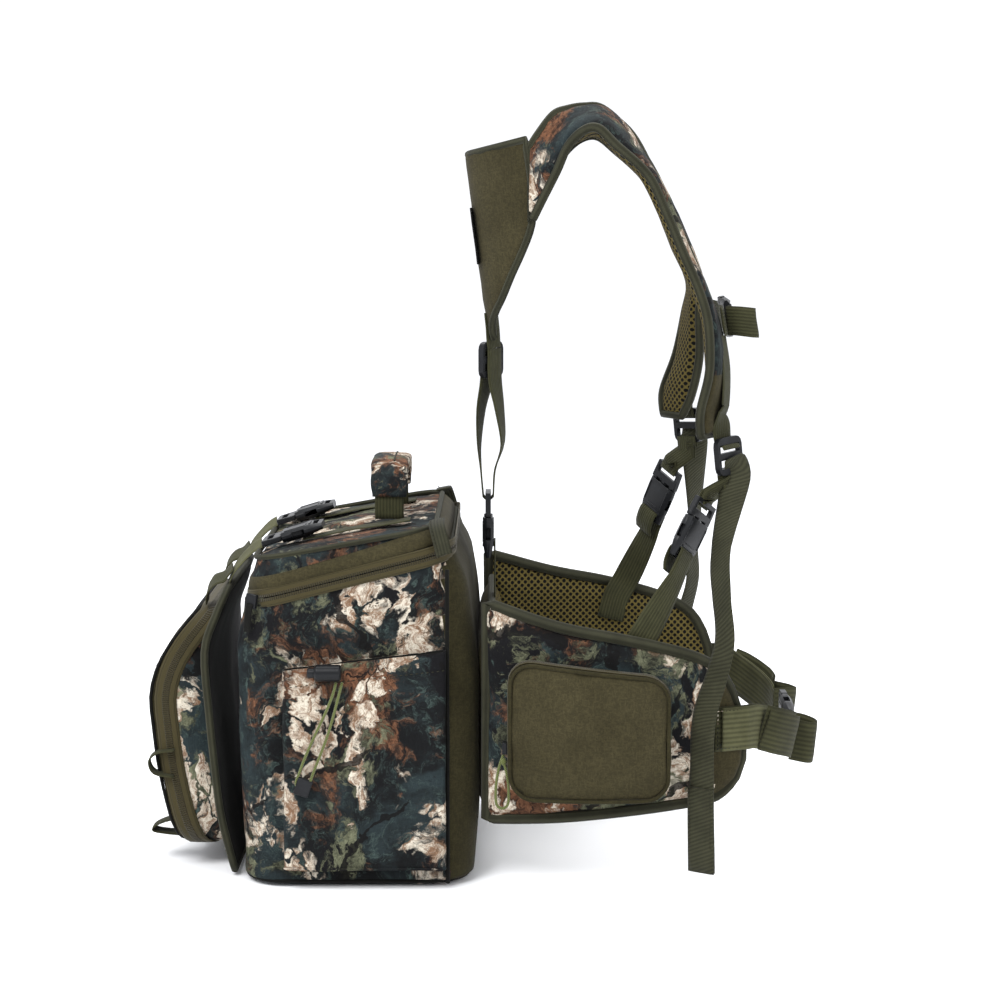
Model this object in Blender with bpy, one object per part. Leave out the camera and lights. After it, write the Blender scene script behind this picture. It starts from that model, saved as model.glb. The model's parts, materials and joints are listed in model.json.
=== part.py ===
"""Lumbar hunting pack with shoulder harness, as separate solids.

Metres. +X is the wearer's forward, -Y the wearer's right (near) side, +Z up.
The origin is the centre of the bag's flat base.
"""

import math

import bmesh
import bpy
from mathutils import Matrix, Vector

# ---- driving dimensions -------------------------------------------------
GAP = 0.0005  # between pieces that touch on the real pack

BAG_HALF_WIDTH = 0.150
BAG_WALL = 0.007
BAG_FLOOR = 0.014
BAG_CORNER = 0.032
RIM_MIDDLE = 0.2645  # height of the zip line at x = 0
RIM_SLOPE = 0.253

LID_EDGE_MIDDLE = 0.292  # height of the lid's upper edge at x = 0
LID_EDGE_SLOPE = 0.179
LID_CROWN = 0.002
LID_WALL = 0.004

WEBBING = 0.025
BELT_WEBBING = 0.038
WEBBING_THICK = 0.0015

WING_THICK = 0.012
WING_BULGE_X = 0.205
WING_BULGE_Y = 0.1655
WING_CURVE = 1.8

BUCKLE_WIDTH = 0.036
BUCKLE_THICK = 0.009
BUCKLE_PRONG = 0.020
BUCKLE_FIT = 0.0006

CORD_DIAMETER = 0.0024
CAP_SHARES = (0.25, 0.5, 0.75, 1.0)  # rings that close a curved wall

SIDES = {"near": -1, "far": 1}

# joint axes, as (x, y, z) points on them
LID_HINGE = (0.085, 0.0, 0.289)
HANDLE_HINGE = (0.027, 0.0, 0.302)
TAIL_HINGE = (-0.100, 0.0, 0.010)
POUCH_HINGE = (-0.1475, 0.0, 0.0265)
WING_HINGE = (0.112, 0.144, 0.140)
WING_FLAP_HINGE = (0.1965, 0.188, 0.0855)
REAR_BUCKLE = (0.1125, 0.0, 0.297)
LADDER = (0.316, 0.100, 0.361)
FAR_LADDER_SHIFT = (-0.018, 0.0, 0.008)  # the far strap is pulled a little shorter

for old in list(bpy.data.objects):
    bpy.data.objects.remove(old, do_unlink=True)


# ---- materials ------------------------------------------------------------
def material(name, colour, roughness, metallic=0.0):
    made = bpy.data.materials.new(name)
    made.use_nodes = True
    shader = made.node_tree.nodes["Principled BSDF"]
    shader.inputs["Base Color"].default_value = (*colour, 1.0)
    shader.inputs["Roughness"].default_value = roughness
    shader.inputs["Metallic"].default_value = metallic
    made.diffuse_color = (*colour, 1.0)
    return made


CAMO = material("camo_fabric", (0.060, 0.062, 0.048), 0.85)
OLIVE = material("olive_fabric", (0.064, 0.057, 0.027), 0.85)
WEB = material("olive_webbing", (0.084, 0.084, 0.048), 0.80)
MESH = material("air_mesh", (0.110, 0.085, 0.030), 0.90)
PLASTIC = material("black_plastic", (0.012, 0.013, 0.016), 0.35)
SHEET = material("stiffener_plastic", (0.030, 0.030, 0.030), 0.55)
CORD = material("green_cord", (0.115, 0.150, 0.055), 0.70)


# ---- building blocks --------------------------------------------------------
def pivot(name, at, parent=None):
    """An empty on a joint's axis; the pieces that turn with it are its children."""
    empty = bpy.data.objects.new(name, None)
    bpy.context.scene.collection.objects.link(empty)
    empty.parent = parent
    empty.location = Vector(at) - (Vector(parent["at"]) if parent else Vector())
    empty["at"] = tuple(at)
    return empty


def piece(name, bm, look, body=None, sharp=35):
    """Turns a bmesh in world coordinates into a named object under its joint's empty."""
    bmesh.ops.recalc_face_normals(bm, faces=bm.faces)
    if bm.calc_volume(signed=True) < 0:
        bmesh.ops.reverse_faces(bm, faces=bm.faces)
    mesh = bpy.data.meshes.new(name)
    bm.to_mesh(mesh)
    bm.free()
    mesh.materials.append(look)
    mesh.shade_smooth()
    mesh.set_sharp_from_angle(angle=math.radians(sharp))
    made = bpy.data.objects.new(name, mesh)
    bpy.context.scene.collection.objects.link(made)
    if body:
        made.parent = body
        made.location = -Vector(body["at"])
    return made


def loft(bm, rings, closed=False, folded=False):
    """Skins rings of equally many points. The ends get a fan of triangles, unless the rings close, or
    a strip where each ring is folded: it runs out along one face and back along the other."""
    loops = [[bm.verts.new(point) for point in ring] for ring in rings]
    pairs = list(zip(loops, loops[1:]))
    if closed:
        pairs.append((loops[-1], loops[0]))
    for a, b in pairs:
        for i in range(len(a)):
            j = (i + 1) % len(a)
            bm.faces.new((a[i], a[j], b[j], b[i]))
    if closed:
        return
    for loop in (loops[0], loops[-1]):
        if folded:
            for i in range(len(loop) // 2 - 1):
                bm.faces.new((loop[i], loop[i + 1], loop[-i - 2], loop[-i - 1]))
            continue
        middle = bm.verts.new(sum((v.co for v in loop), Vector()) / len(loop))
        for i in range(len(loop)):
            bm.faces.new((loop[i], loop[(i + 1) % len(loop)], middle))


def lofted(name, rings, look, body=None, closed=False, folded=False):
    bm = bmesh.new()
    loft(bm, rings, closed, folded)
    return piece(name, bm, look, body)


def rounded_rectangle(low, high, radius, steps=4, along=0):
    """Points counter-clockwise round a rectangle with round corners, and more along its sides."""
    centres = (
        (high[0] - radius, high[1] - radius),
        (low[0] + radius, high[1] - radius),
        (low[0] + radius, low[1] + radius),
        (high[0] - radius, low[1] + radius),
    )
    points = []
    for corner, (x, y) in enumerate(centres):
        for step in range(steps + 1):
            angle = math.pi / 2 * (corner + step / steps)
            points.append((x + radius * math.cos(angle), y + radius * math.sin(angle)))
    found = []
    for i, point in enumerate(points):
        found.append(point)
        if i % (steps + 1) == steps:
            after = points[(i + 1) % len(points)]
            for step in range(1, along + 1):
                share = step / (along + 1)
                found.append(tuple(a + (b - a) * share for a, b in zip(point, after)))
    return found


def smooth(points, per_span=4):
    """More points on a Catmull-Rom curve through the given ones."""
    points = [Vector(p) for p in points]
    ends = [2 * points[0] - points[1]] + points + [2 * points[-1] - points[-2]]
    found = []
    for a, b, c, d in zip(ends, ends[1:], ends[2:], ends[3:]):
        for step in range(per_span):
            t = step / per_span
            found.append(
                0.5 * (2 * b + (c - a) * t + (2 * a - 5 * b + 4 * c - d) * t * t
                       + (3 * b - a - 3 * c + d) * t ** 3)
            )
    return found + [points[-1]]


def between(table, x):
    """Reads a curve given as (x, value) pairs at x, on straight runs."""
    for (x0, v0), (x1, v1) in zip(table, table[1:]):
        if x <= x1:
            return v0 + (v1 - v0) * max(x - x0, 0.0) / (x1 - x0)
    return table[-1][1]


def frames_along(path, across):
    """For each point: the point, the width direction and the face normal."""
    found = []
    for i, point in enumerate(path):
        tangent = (path[min(i + 1, len(path) - 1)] - path[max(i - 1, 0)]).normalized()
        wide = Vector(across[i] if isinstance(across, list) else across)
        wide = (wide - tangent * wide.dot(tangent)).normalized()
        found.append((point, wide, tangent.cross(wide)))
    return found


def strap(name, path, across, width, thick, look, body=None, chamfer=0.0):
    """A flat band along a path: four-sided, or eight-sided where its edges are chamfered."""
    path = [Vector(p) for p in path]
    rings = []
    for i, (point, wide, normal) in enumerate(frames_along(path, across)):
        w = (width[i] if isinstance(width, list) else width) / 2
        rings.append(
            [point + wide * a + normal * b for a, b in section(w, thick / 2, chamfer)]
        )
    return lofted(name, rings, look, body)


def section(w, t, chamfer):
    if not chamfer:
        return ((w, t), (-w, t), (-w, -t), (w, -t))
    c = min(chamfer, w * 0.9)
    k = min(chamfer, t * 0.7)
    return (
        (w, t - k), (w - c, t), (c - w, t), (-w, t - k),
        (-w, k - t), (c - w, -t), (w - c, -t), (w, k - t),
    )


def box(bm, frame, low, high):
    """A box between two corners given in a frame's own coordinates."""
    size = [h - l for l, h in zip(low, high)]
    centre = [(l + h) / 2 for l, h in zip(low, high)]
    place = frame @ Matrix.Translation(centre) @ Matrix.Diagonal((*size, 1.0))
    bmesh.ops.create_cube(bm, size=1.0, matrix=place)


def cut(target, name, frame, low, high):
    """Takes a box out of the target."""
    bm = bmesh.new()
    box(bm, frame, low, high)
    cutter = piece(name, bm, PLASTIC, target.parent)
    cutter.hide_render = True
    cutter.display_type = "WIRE"
    taken = target.modifiers.new(name, "BOOLEAN")
    taken.operation = "DIFFERENCE"
    taken.object = cutter


def frame_of(origin, along, normal):
    """A frame with Z along a buckle's length, Y out of its face and X across it."""
    z = Vector(along).normalized()
    y = Vector(normal)
    y = (y - z * y.dot(z)).normalized()
    x = y.cross(z)
    frame = Matrix((x, y, z)).transposed().to_4x4()
    frame.translation = Vector(origin)
    return frame


def female_half(name, frame, body, size=1.0, width=BUCKLE_WIDTH):
    """The socket: a mouth at z = 0, side windows for the prongs and a slot for webbing."""
    half = width / 2
    thick = BUCKLE_THICK * size / 2
    length = 0.036 * size
    stations = ((0.0, 1.0, 0.9), (-0.006, 1.0, 1.0), (-0.024, 0.97, 1.0), (-0.036, 0.86, 0.6))
    rings = []
    for z, wide, deep in stations:
        rings.append(
            [frame @ Vector((a, b, z * size))
             for a, b in section(half * wide, thick * deep, 0.003)]
        )
    made = lofted(name, rings, PLASTIC, body)
    inner = half - 0.0028
    deep = thick - 0.0016
    cut(made, name + "_mouth", frame, (-inner, -deep, -0.0235 * size), (inner, deep, 0.002))
    window = thick * 0.5
    cut(made, name + "_windows", frame, (-half - 0.002, -window, -0.020 * size),
        (half + 0.002, window, -0.009 * size))
    slot = half - 0.0062
    cut(made, name + "_slot", frame, (-slot, -thick * 2, -length + 0.0035),
        (slot, thick * 2, -length + 0.0080))
    return made


def male_half(name, frame, body, size=1.0, width=BUCKLE_WIDTH, base=0.018):
    """The plug: a slotted base above z = 0, two prongs and a centre tongue below it."""
    half = width / 2
    outer = half - 0.0028 - BUCKLE_FIT
    inner = outer - 0.0042
    tongue = 0.003
    tip = -BUCKLE_PRONG * size
    root = BUCKLE_FIT
    web = root + 0.0015
    right = [
        (half * 0.94, base), (half, root + 0.004), (half, root), (outer, root),
        (outer, tip + 0.003), (outer - 0.002, tip), (inner, tip), (inner, web),
        (tongue, web), (tongue, tip + 0.005),
    ]
    outline = right + [(-x, z) for x, z in reversed(right)]
    t = 0.0024 * size
    bm = bmesh.new()
    face = bm.faces.new([bm.verts.new(frame @ Vector((x, -t, z))) for x, z in outline])
    pushed = bmesh.ops.extrude_face_region(bm, geom=[face])
    moved = [v for v in pushed["geom"] if isinstance(v, bmesh.types.BMVert)]
    bmesh.ops.translate(bm, verts=moved, vec=frame.to_3x3() @ Vector((0, 2 * t, 0)))
    made = piece(name, bm, PLASTIC, body)
    slot = half - 0.0045
    cut(made, name + "_slot", frame, (-slot, -0.01, base - 0.0098), (slot, 0.01, base - 0.0042))
    return made


def ladder_lock(name, frame, body, width=0.034, height=0.032):
    """A flat frame with two webbing slots either side of a centre bar."""
    half = width / 2
    rings = [
        [frame @ Vector((x, y, z)) for x, z in rounded_rectangle(
            (-half, -height / 2), (half, height / 2), 0.007, steps=3)]
        for y in (-0.0025, 0.0025)
    ]
    made = lofted(name, rings, PLASTIC, body)
    slot = half - 0.0038
    for tag, z in (("upper", 0.0065), ("lower", -0.0065)):
        cut(made, f"{name}_{tag}", frame, (-slot, -0.01, z - 0.0035), (slot, 0.01, z + 0.0035))
    return made


# ---- bag body ----------------------------------------------------------------
# height as a share of the rim's, front x, back x, half width
BAG_LEVELS = (
    (0.000, -0.084, 0.084, 0.138),
    (0.014, -0.092, 0.096, 0.146),
    (0.050, -0.0965, 0.102, 0.149),
    (0.300, -0.099, 0.106, BAG_HALF_WIDTH),
    (0.600, -0.099, 0.1065, BAG_HALF_WIDTH),
    (0.850, -0.095, 0.1005, 0.149),
    (0.930, -0.092, 0.0945, 0.148),
    (1.000, -0.089, 0.0845, 0.146),
)


def rim(x):
    return RIM_MIDDLE + RIM_SLOPE * x


def lid_edge(x):
    return LID_EDGE_MIDDLE + LID_EDGE_SLOPE * x


def bag_ring(level, inset, height):
    """A plan outline of the bag at a level; height gives z from x."""
    _, front, back, half = level
    outline = rounded_rectangle(
        (front + inset, inset - half), (back - inset, half - inset), BAG_CORNER - inset
    )
    return [(x, y, height(x)) for x, y in outline]


def bag_body():
    outer = [bag_ring(v, 0, lambda x, v=v: v[0] * rim(x)) for v in BAG_LEVELS]
    inner = [bag_ring(v, BAG_WALL, lambda x, v=v: v[0] * rim(x)) for v in BAG_LEVELS[3:]]
    floor = bag_ring(BAG_LEVELS[2], BAG_WALL, lambda x: BAG_FLOOR)
    lofted("main_shell", outer + inner[::-1] + [floor], CAMO)
    bm = bmesh.new()
    box(bm, Matrix(), (0.0905, -0.11, 0.0155), (0.0925, 0.11, 0.225))
    piece("frame_sheet", bm, SHEET)


def lumbar_pad():
    half = 0.128
    rings = []
    for z, grow in ((0.050, 0.0), (0.056, 0.006), (0.14, 0.010), (0.218, 0.006), (0.225, 0.0)):
        outline = rounded_rectangle(
            (0.1085, -half - grow * 0.5), (0.1145 + grow, half + grow * 0.5), 0.0028, steps=2
        )
        rings.append([(x, y, z) for x, y in outline])
    lofted("lumbar_pad", rings, MESH)


# ---- side pockets with cord locks ---------------------------------------------
POCKET_FRONT, POCKET_BACK = -0.058, 0.078
POCKET_INNER, POCKET_OUTER = 0.1506, 0.1615
POCKET_SKIN = 0.0018
LOCK_AT = (-0.019, 0.1695, 0.188)
LOCK_RADIUS = 0.007
# route of the elastic from the lock down to the cord end and back, as (x, z)
CORD_ROUTE = (
    (-0.0125, 0.1798), (-0.0150, 0.1700), (-0.0205, 0.1560), (-0.0275, 0.1410),
    (-0.0340, 0.1270), (-0.0400, 0.1130), (-0.0440, 0.1020), (-0.0462, 0.0965),
    (-0.0460, 0.0925), (-0.0430, 0.0895), (-0.0390, 0.0890), (-0.0360, 0.0915),
    (-0.0345, 0.0960), (-0.0310, 0.1060), (-0.0250, 0.1210), (-0.0195, 0.1360),
    (-0.0150, 0.1510), (-0.0110, 0.1660), (-0.0075, 0.1798),
)
CORD_OUT = 0.1672  # distance of the elastic from the pack's middle plane


def pocket_top(x):
    return 0.195 + 0.12 * x


def side_pocket(tag, side):
    def ring(inset, height):
        outline = rounded_rectangle(
            (POCKET_FRONT + inset, POCKET_INNER + inset),
            (POCKET_BACK - inset, POCKET_OUTER - inset), 0.0042 - inset, steps=2
        )
        return [(x, side * y, height(x)) for x, y in outline]

    skin = POCKET_SKIN
    rings = [
        ring(0.0, lambda x: 0.018), ring(0.0, pocket_top),
        ring(skin, pocket_top), ring(skin, lambda x: 0.018 + skin),
    ]
    lofted(f"side_pocket_{tag}", rings, CAMO)


def turned(stations, centre, axis_sign, segments=20):
    """Rings of a shape turned about the X direction, from (distance along it, radius)."""
    rings = []
    for along, radius in stations:
        rings.append([
            (centre[0] + axis_sign * along,
             centre[1] + radius * math.cos(2 * math.pi * i / segments),
             centre[2] + radius * math.sin(2 * math.pi * i / segments))
            for i in range(segments)
        ])
    return rings


def cord_lock(tag, side, body):
    at = (LOCK_AT[0], side * LOCK_AT[1], LOCK_AT[2])
    half = 0.011
    bore = 0.0046
    outside = turned(
        ((-half, LOCK_RADIUS * 0.82), (-half + 0.0015, LOCK_RADIUS), (half - 0.0015, LOCK_RADIUS),
         (half, LOCK_RADIUS * 0.8)), at, 1
    )
    # bore open at the front end: the inside is skinned from its mouth to its blind end
    inside = turned(((-half, bore), (half - 0.009, bore)), at, 1)
    lofted(f"cord_lock_{tag}", outside[::-1] + inside, PLASTIC)
    button = turned(
        ((-half - 0.006, bore * 0.75), (-half - 0.0055, bore * 0.92), (half - 0.0145, bore * 0.92)),
        at, 1
    )
    lofted(f"lock_button_{tag}", button, PLASTIC, body)


def shock_cord(tag, side):
    route = smooth([(x, side * CORD_OUT, z) for x, z in CORD_ROUTE], per_span=2)
    curve = bpy.data.curves.new(f"shock_cord_{tag}", "CURVE")
    curve.dimensions = "3D"
    curve.bevel_depth = CORD_DIAMETER / 2
    curve.bevel_resolution = 2
    curve.use_fill_caps = True
    line = curve.splines.new("POLY")
    line.points.add(len(route) - 1)
    for point, at in zip(line.points, route):
        point.co = (*at, 1.0)
    curve.materials.append(CORD)
    made = bpy.data.objects.new(f"shock_cord_{tag}", curve)
    bpy.context.scene.collection.objects.link(made)
    frame = frame_of((-0.0408, side * CORD_OUT, 0.0905), (0.33, 0, 0.944), (0, side, 0))
    bm = bmesh.new()
    box(bm, frame, (-0.0080, -0.0033, -0.0085), (0.0080, 0.0033, 0.0095))
    end = piece(f"cord_end_{tag}", bm, PLASTIC)
    cut(end, f"cord_end_{tag}_slot", frame, (-0.010, -0.0016, -0.0055), (0.010, 0.0016, 0.02))


# ---- lid, carry handle and compression straps ------------------------------------
def lid(body):
    top = (0.0, -0.083, 0.069, 0.140)
    skirt = BAG_LEVELS[-1]
    centre = (top[1] + top[2]) / 2

    def crown(share, inset, drop):
        points = []
        for x, y, _ in bag_ring(top, inset, lambda x: 0.0):
            x = centre + (x - centre) * share
            lift = LID_CROWN * (1 - share * share)
            points.append((x, y * share, lid_edge(x) + lift - drop))
        return points

    outer = [bag_ring(skirt, 0, lambda x: rim(x) + GAP), crown(1.0, 0.0, 0.0), crown(0.5, 0.0, 0.0)]
    inner = [
        crown(0.5, LID_WALL, LID_WALL), crown(1.0, LID_WALL, LID_WALL),
        bag_ring(skirt, LID_WALL, lambda x: rim(x) + GAP),
    ]
    lofted("lid_shell", inner + outer, CAMO, body)


def handle(body):
    x = HANDLE_HINGE[0]
    half = (
        (0.0520, 0.3055), (0.0520, 0.3200), (0.0500, 0.3320), (0.0430, 0.3410),
        (0.0320, 0.3455), (0.0160, 0.3470),
    )
    right = [(x, -y, z) for y, z in half]
    left = [(x, y, z) for y, z in reversed(half)]
    strap("handle_webbing", right + [(x, 0.0, 0.3475)] + left, (1, 0, 0), WEBBING, 0.0024, WEB, body)
    path = [Vector(p) for p in ((x, -0.031, 0.34575), (x, -0.016, 0.3470), (x, 0, 0.3475),
                                (x, 0.016, 0.3470), (x, 0.031, 0.34575))]
    frames = frames_along(path, (1, 0, 0))
    outer = [[p + w * a + n * b for a, b in section(0.0165, 0.0048, 0.003)] for p, w, n in frames]
    inner = [[p + w * a + n * b for a, b in section(0.0131, 0.0020, 0.0004)] for p, w, n in frames]
    lofted("handle_grip", outer + inner[::-1], CAMO, body, closed=True)


COMPRESSION_Y = 0.070
COMPRESSION_MOUTH = (-0.0634, 0.2886)
COMPRESSION_DROP = math.radians(17)


def compression(tag, side, lid_body, slide_body):
    y = side * COMPRESSION_Y
    along = (-math.cos(COMPRESSION_DROP), 0, -math.sin(COMPRESSION_DROP))
    frame = frame_of((COMPRESSION_MOUTH[0], y, COMPRESSION_MOUTH[1]), along, (-0.29, 0, 0.957))
    female_half(f"compression_female_{tag}", frame, slide_body)
    male_half(f"compression_male_{tag}", frame, lid_body)
    lift = 0.0030
    path = [(x, y, lid_edge(x) + lift) for x in (0.046, 0.02, -0.005, -0.030, -0.046)]
    strap(f"compression_upper_{tag}", path, (0, 1, 0), WEBBING, WEBBING_THICK, WEB, lid_body)
    end = frame @ Vector((0, 0, 0.0195))
    path = [end, end + Vector((-0.009, 0, -0.006)), (-0.1045, y, 0.262), (-0.1105, y, 0.2495)]
    strap(f"compression_lower_{tag}", path, (0, 1, 0), WEBBING, WEBBING_THICK, WEB, lid_body)


# ---- beavertail and its front pouch -------------------------------------------------
TAIL_PROFILE = (
    (0.006, -0.1045), (0.030, -0.1085), (0.061, -0.1145), (0.100, -0.1185), (0.146, -0.1225),
    (0.197, -0.1260), (0.225, -0.1180), (0.246, -0.1095),
)
TAIL_HALF_WIDTHS = (0.112, 0.124, 0.128, 0.130, 0.130, 0.126, 0.116, 0.096)
TAIL_THICK = 0.004
POUCH_PROFILE = (
    (0.012, -0.1270), (0.030, -0.1500), (0.080, -0.1640), (0.125, -0.1700), (0.158, -0.1715),
    (0.190, -0.1600), (0.226, -0.1330),
)
POUCH_LOW, POUCH_HIGH, POUCH_HALF = 0.022, 0.226, 0.096


def tail_panel(body):
    path = [(x, 0.0, z) for z, x in TAIL_PROFILE]
    widths = [2 * w for w in TAIL_HALF_WIDTHS]
    strap("tail_panel", path, (0, 1, 0), widths, TAIL_THICK, CAMO, body, chamfer=0.0012)


def pouch_ring(inset, depth, share=1.0):
    """Outline of the pouch, or a smaller one inside it; depth gives x from z."""
    outline = rounded_rectangle(
        (inset - POUCH_HALF, POUCH_LOW + inset), (POUCH_HALF - inset, POUCH_HIGH - inset), 0.028, 3, 3
    )
    middle = (POUCH_LOW + POUCH_HIGH) / 2
    scaled = [(y * share, middle + (z - middle) * share) for y, z in outline]
    return [(depth(z), y, z) for y, z in scaled]


def pouch(body, flap_body):
    skin = 0.003

    def back(z):
        return between(TAIL_PROFILE, z) - TAIL_THICK / 2 - 0.0028

    def front(z):
        return between(POUCH_PROFILE, z)

    rings = [pouch_ring(0.0, back, share) for share in CAP_SHARES]
    rings += [pouch_ring(0.0, front), pouch_ring(skin, front)]
    rings += [pouch_ring(skin, lambda z: back(z) - skin, share) for share in CAP_SHARES[::-1]]
    lofted("front_pouch", rings, CAMO, body)
    stations = [(z, front(z) - GAP - 0.0026) for z in (0.030, 0.055, 0.080, 0.110, 0.140, 0.165, 0.190, 0.218)]
    widths = [2 * between(((0.022, 0.060), (0.034, 0.086), (0.050, 0.095), (0.198, 0.095),
                           (0.214, 0.086), (0.226, 0.060)), z) for z, _ in stations]
    strap("pouch_flap", [(x, 0, z) for z, x in stations], (0, 1, 0), widths, 0.003, OLIVE,
          flap_body, chamfer=0.001)


# ---- hip belt wings ------------------------------------------------------------------
WING_TOP = (
    (0.112, 0.242), (0.170, 0.2245), (0.219, 0.215), (0.250, 0.208), (0.281, 0.199),
    (0.303, 0.187), (0.315, 0.170), (0.323, 0.146), (0.3265, 0.124),
)
WING_BOTTOM = (
    (0.112, 0.059), (0.170, 0.063), (0.220, 0.068), (0.281, 0.074), (0.303, 0.077),
    (0.315, 0.085), (0.323, 0.096), (0.3265, 0.108),
)
WING_POCKET_LOW, WING_POCKET_HIGH = (0.131, 0.084), (0.262, 0.199)
WING_POCKET_DEPTH = 0.020
WING_POCKET_TAPER = 0.13  # share of its height that the pocket loses towards the tip


def wing_outer(x):
    """Distance of a wing's outer face from the middle plane."""
    return WING_BULGE_Y - WING_CURVE * (x - WING_BULGE_X) ** 2


def wing(tag, side, body):
    rings = []
    for x in (0.112, 0.135, 0.160, 0.190, 0.220, 0.250, 0.281, 0.303, 0.315, 0.323, 0.3265):
        low, high = between(WING_BOTTOM, x), between(WING_TOP, x)
        outer = side * wing_outer(x)
        middle = outer - side * WING_THICK / 2
        rings.append([
            (x, middle + side * a, (low + high) / 2 + b)
            for a, b in section(WING_THICK / 2, (high - low) / 2, 0.004)
        ])
    lofted(f"wing_{tag}", rings, CAMO, body)


def pocket_share(x):
    """Height of the wing pocket at x, as a share of its height at the hinge end."""
    along = (x - WING_POCKET_LOW[0]) / (WING_POCKET_HIGH[0] - WING_POCKET_LOW[0])
    return 1 - WING_POCKET_TAPER * along


def wing_pocket(tag, side, body, flap_body):
    skin = 0.0022
    middle_x = (WING_POCKET_LOW[0] + WING_POCKET_HIGH[0]) / 2
    middle = (WING_POCKET_LOW[1] + WING_POCKET_HIGH[1]) / 2

    def ring(inset, out, share=1.0):
        outline = rounded_rectangle(
            (WING_POCKET_LOW[0] + inset, WING_POCKET_LOW[1] + inset),
            (WING_POCKET_HIGH[0] - inset, WING_POCKET_HIGH[1] - inset), 0.020 - inset, 3, 4
        )
        found = []
        for x, z in outline:
            x = middle_x + (x - middle_x) * share
            z = middle + (z - middle) * share
            z = WING_POCKET_LOW[1] + (z - WING_POCKET_LOW[1]) * pocket_share(x)
            found.append((x, side * (wing_outer(x) + out), z))
        return found

    depth = WING_POCKET_DEPTH
    rings = [ring(0, 0.0016, share) for share in CAP_SHARES] + [ring(0, depth), ring(skin, depth)]
    rings += [ring(skin, 0.0016 + skin, share) for share in CAP_SHARES[::-1]]
    lofted(f"wing_pocket_{tag}", rings, OLIVE, body)
    end = 0.087
    full = 0.114
    outline = ((0.1335, end), (0.150, full), (0.175, full), (0.1965, full), (0.220, full),
               (0.243, full), (0.2595, end))
    heights = [height * pocket_share(x) for x, height in outline]
    path = []
    for x, _ in outline:
        z = WING_POCKET_LOW[1] + (middle - WING_POCKET_LOW[1]) * pocket_share(x)
        path.append((x, side * (wing_outer(x) + depth + GAP + 0.0012), z))
    strap(f"wing_flap_{tag}", path, (0, 0, 1), heights, 0.002, OLIVE, flap_body)


FRONT_ANCHOR = (0.2345, 0.1400, 0.200)
FRONT_BUCKLE_AT = 0.123  # along the line from the anchor to the ladder lock
FRONT_TURN = 1.6  # how far the buckle's face is turned forward, against 1 outward


def front_line(side):
    low = Vector((FRONT_ANCHOR[0], side * FRONT_ANCHOR[1], FRONT_ANCHOR[2]))
    high = Vector((LADDER[0], side * LADDER[1], LADDER[2]))
    if side > 0:
        high += Vector(FAR_LADDER_SHIFT)
    along = (high - low).normalized()
    return low, high, frame_of(low + along * FRONT_BUCKLE_AT, along, (FRONT_TURN, side, 0))


def front_anchor(tag, side, body):
    """Webbing from the inside of the wing, lapped over the outer face of its buckle."""
    _, _, frame = front_line(side)
    over = BUCKLE_THICK / 2 + 0.0006 + WEBBING_THICK / 2
    upper = [frame @ Vector((0, over, z)) for z in (-0.0285, -0.0440, -0.0600)]
    x = FRONT_ANCHOR[0]
    inside = side * (wing_outer(x) - WING_THICK - 0.0036)
    path = upper + [(x + 0.010, inside, 0.2185), (x, inside, 0.200), (x - 0.006, inside, 0.178)]
    wide = frame.to_3x3() @ Vector((1, 0, 0))
    wide *= 1 if wide.x > 0 else -1
    turning = [wide] * 2 + [wide.lerp(Vector((0.84, 0, -0.54)), share) for share in (0.2, 0.8, 1.0, 1.0)]
    strap(f"front_anchor_{tag}", smooth(path, 2), smooth(turning, 2), WEBBING, WEBBING_THICK, WEB, body)


WAIST_X = 0.378
WAIST_Z = 0.113
WAIST_WIDTH = 0.048


def waist(bodies):
    frame = frame_of((WAIST_X, -0.004, WAIST_Z), (0, 1, 0.06), (1, 0, 0))
    size = 1.15
    female_half("waist_female", frame, bodies["wing_near"], size, WAIST_WIDTH)
    male_half("waist_male", frame, bodies["waist_plug"], size, WAIST_WIDTH, base=0.020)
    tab = 0.0034
    for tag, side in SIDES.items():
        on_wing = [(x, side * (wing_outer(x) + tab), 0.1365) for x in (0.302, 0.312, 0.3225, 0.3290)]
        if tag == "near":
            free = [(0.338, -0.130, 0.1350), (0.352, -0.108, 0.1280), (0.364, -0.084, 0.1200),
                    (0.3705, -0.062, 0.1150), (0.3715, -0.046, 0.1130)]
            fold = [(0.3712, -0.0435, 0.1125)]
        else:
            free = [(0.338, 0.130, 0.1350), (0.352, 0.108, 0.1280), (0.3655, 0.084, 0.1200),
                    (0.3720, 0.062, 0.1150), (0.3728, 0.040, 0.1130), (0.3733, 0.0315, 0.1130)]
            fold = []
        path = on_wing + free + fold
        strap(f"waist_webbing_{tag}", path, (0, 0, 1), BELT_WEBBING, WEBBING_THICK, WEB,
              bodies[f"wing_{tag}"])


# ---- harness -----------------------------------------------------------------------------
# height, centre x, half width
YOKE_LEVELS = (
    (0.4565, 0.1130, 0.0125), (0.4680, 0.1120, 0.0130), (0.4890, 0.1085, 0.0330),
    (0.5120, 0.1055, 0.0460), (0.5340, 0.1030, 0.0560), (0.5550, 0.1000, 0.0630),
    (0.5800, 0.0970, 0.0655), (0.6000, 0.0945, 0.0650), (0.6150, 0.0930, 0.0640),
)
YOKE_WRAP = 12.0
YOKE_THICK = 0.005
REAR_LADDER_X = 0.1150
REAR_TWIST = math.radians(32)  # turn of the rear webbing between its buckle and its ladder lock


def yoke(body):
    columns = 9
    rings = []
    for z, x0, half in YOKE_LEVELS:
        ys = [half * (2 * i / (columns - 1) - 1) for i in range(columns)]
        back = [(x0 + YOKE_WRAP * y * y, y, z) for y in ys]
        front = [(x + YOKE_THICK, y, z) for x, y, z in reversed(back)]
        rings.append(back + front)
    lofted("yoke", rings, OLIVE, body, folded=True)


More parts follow.
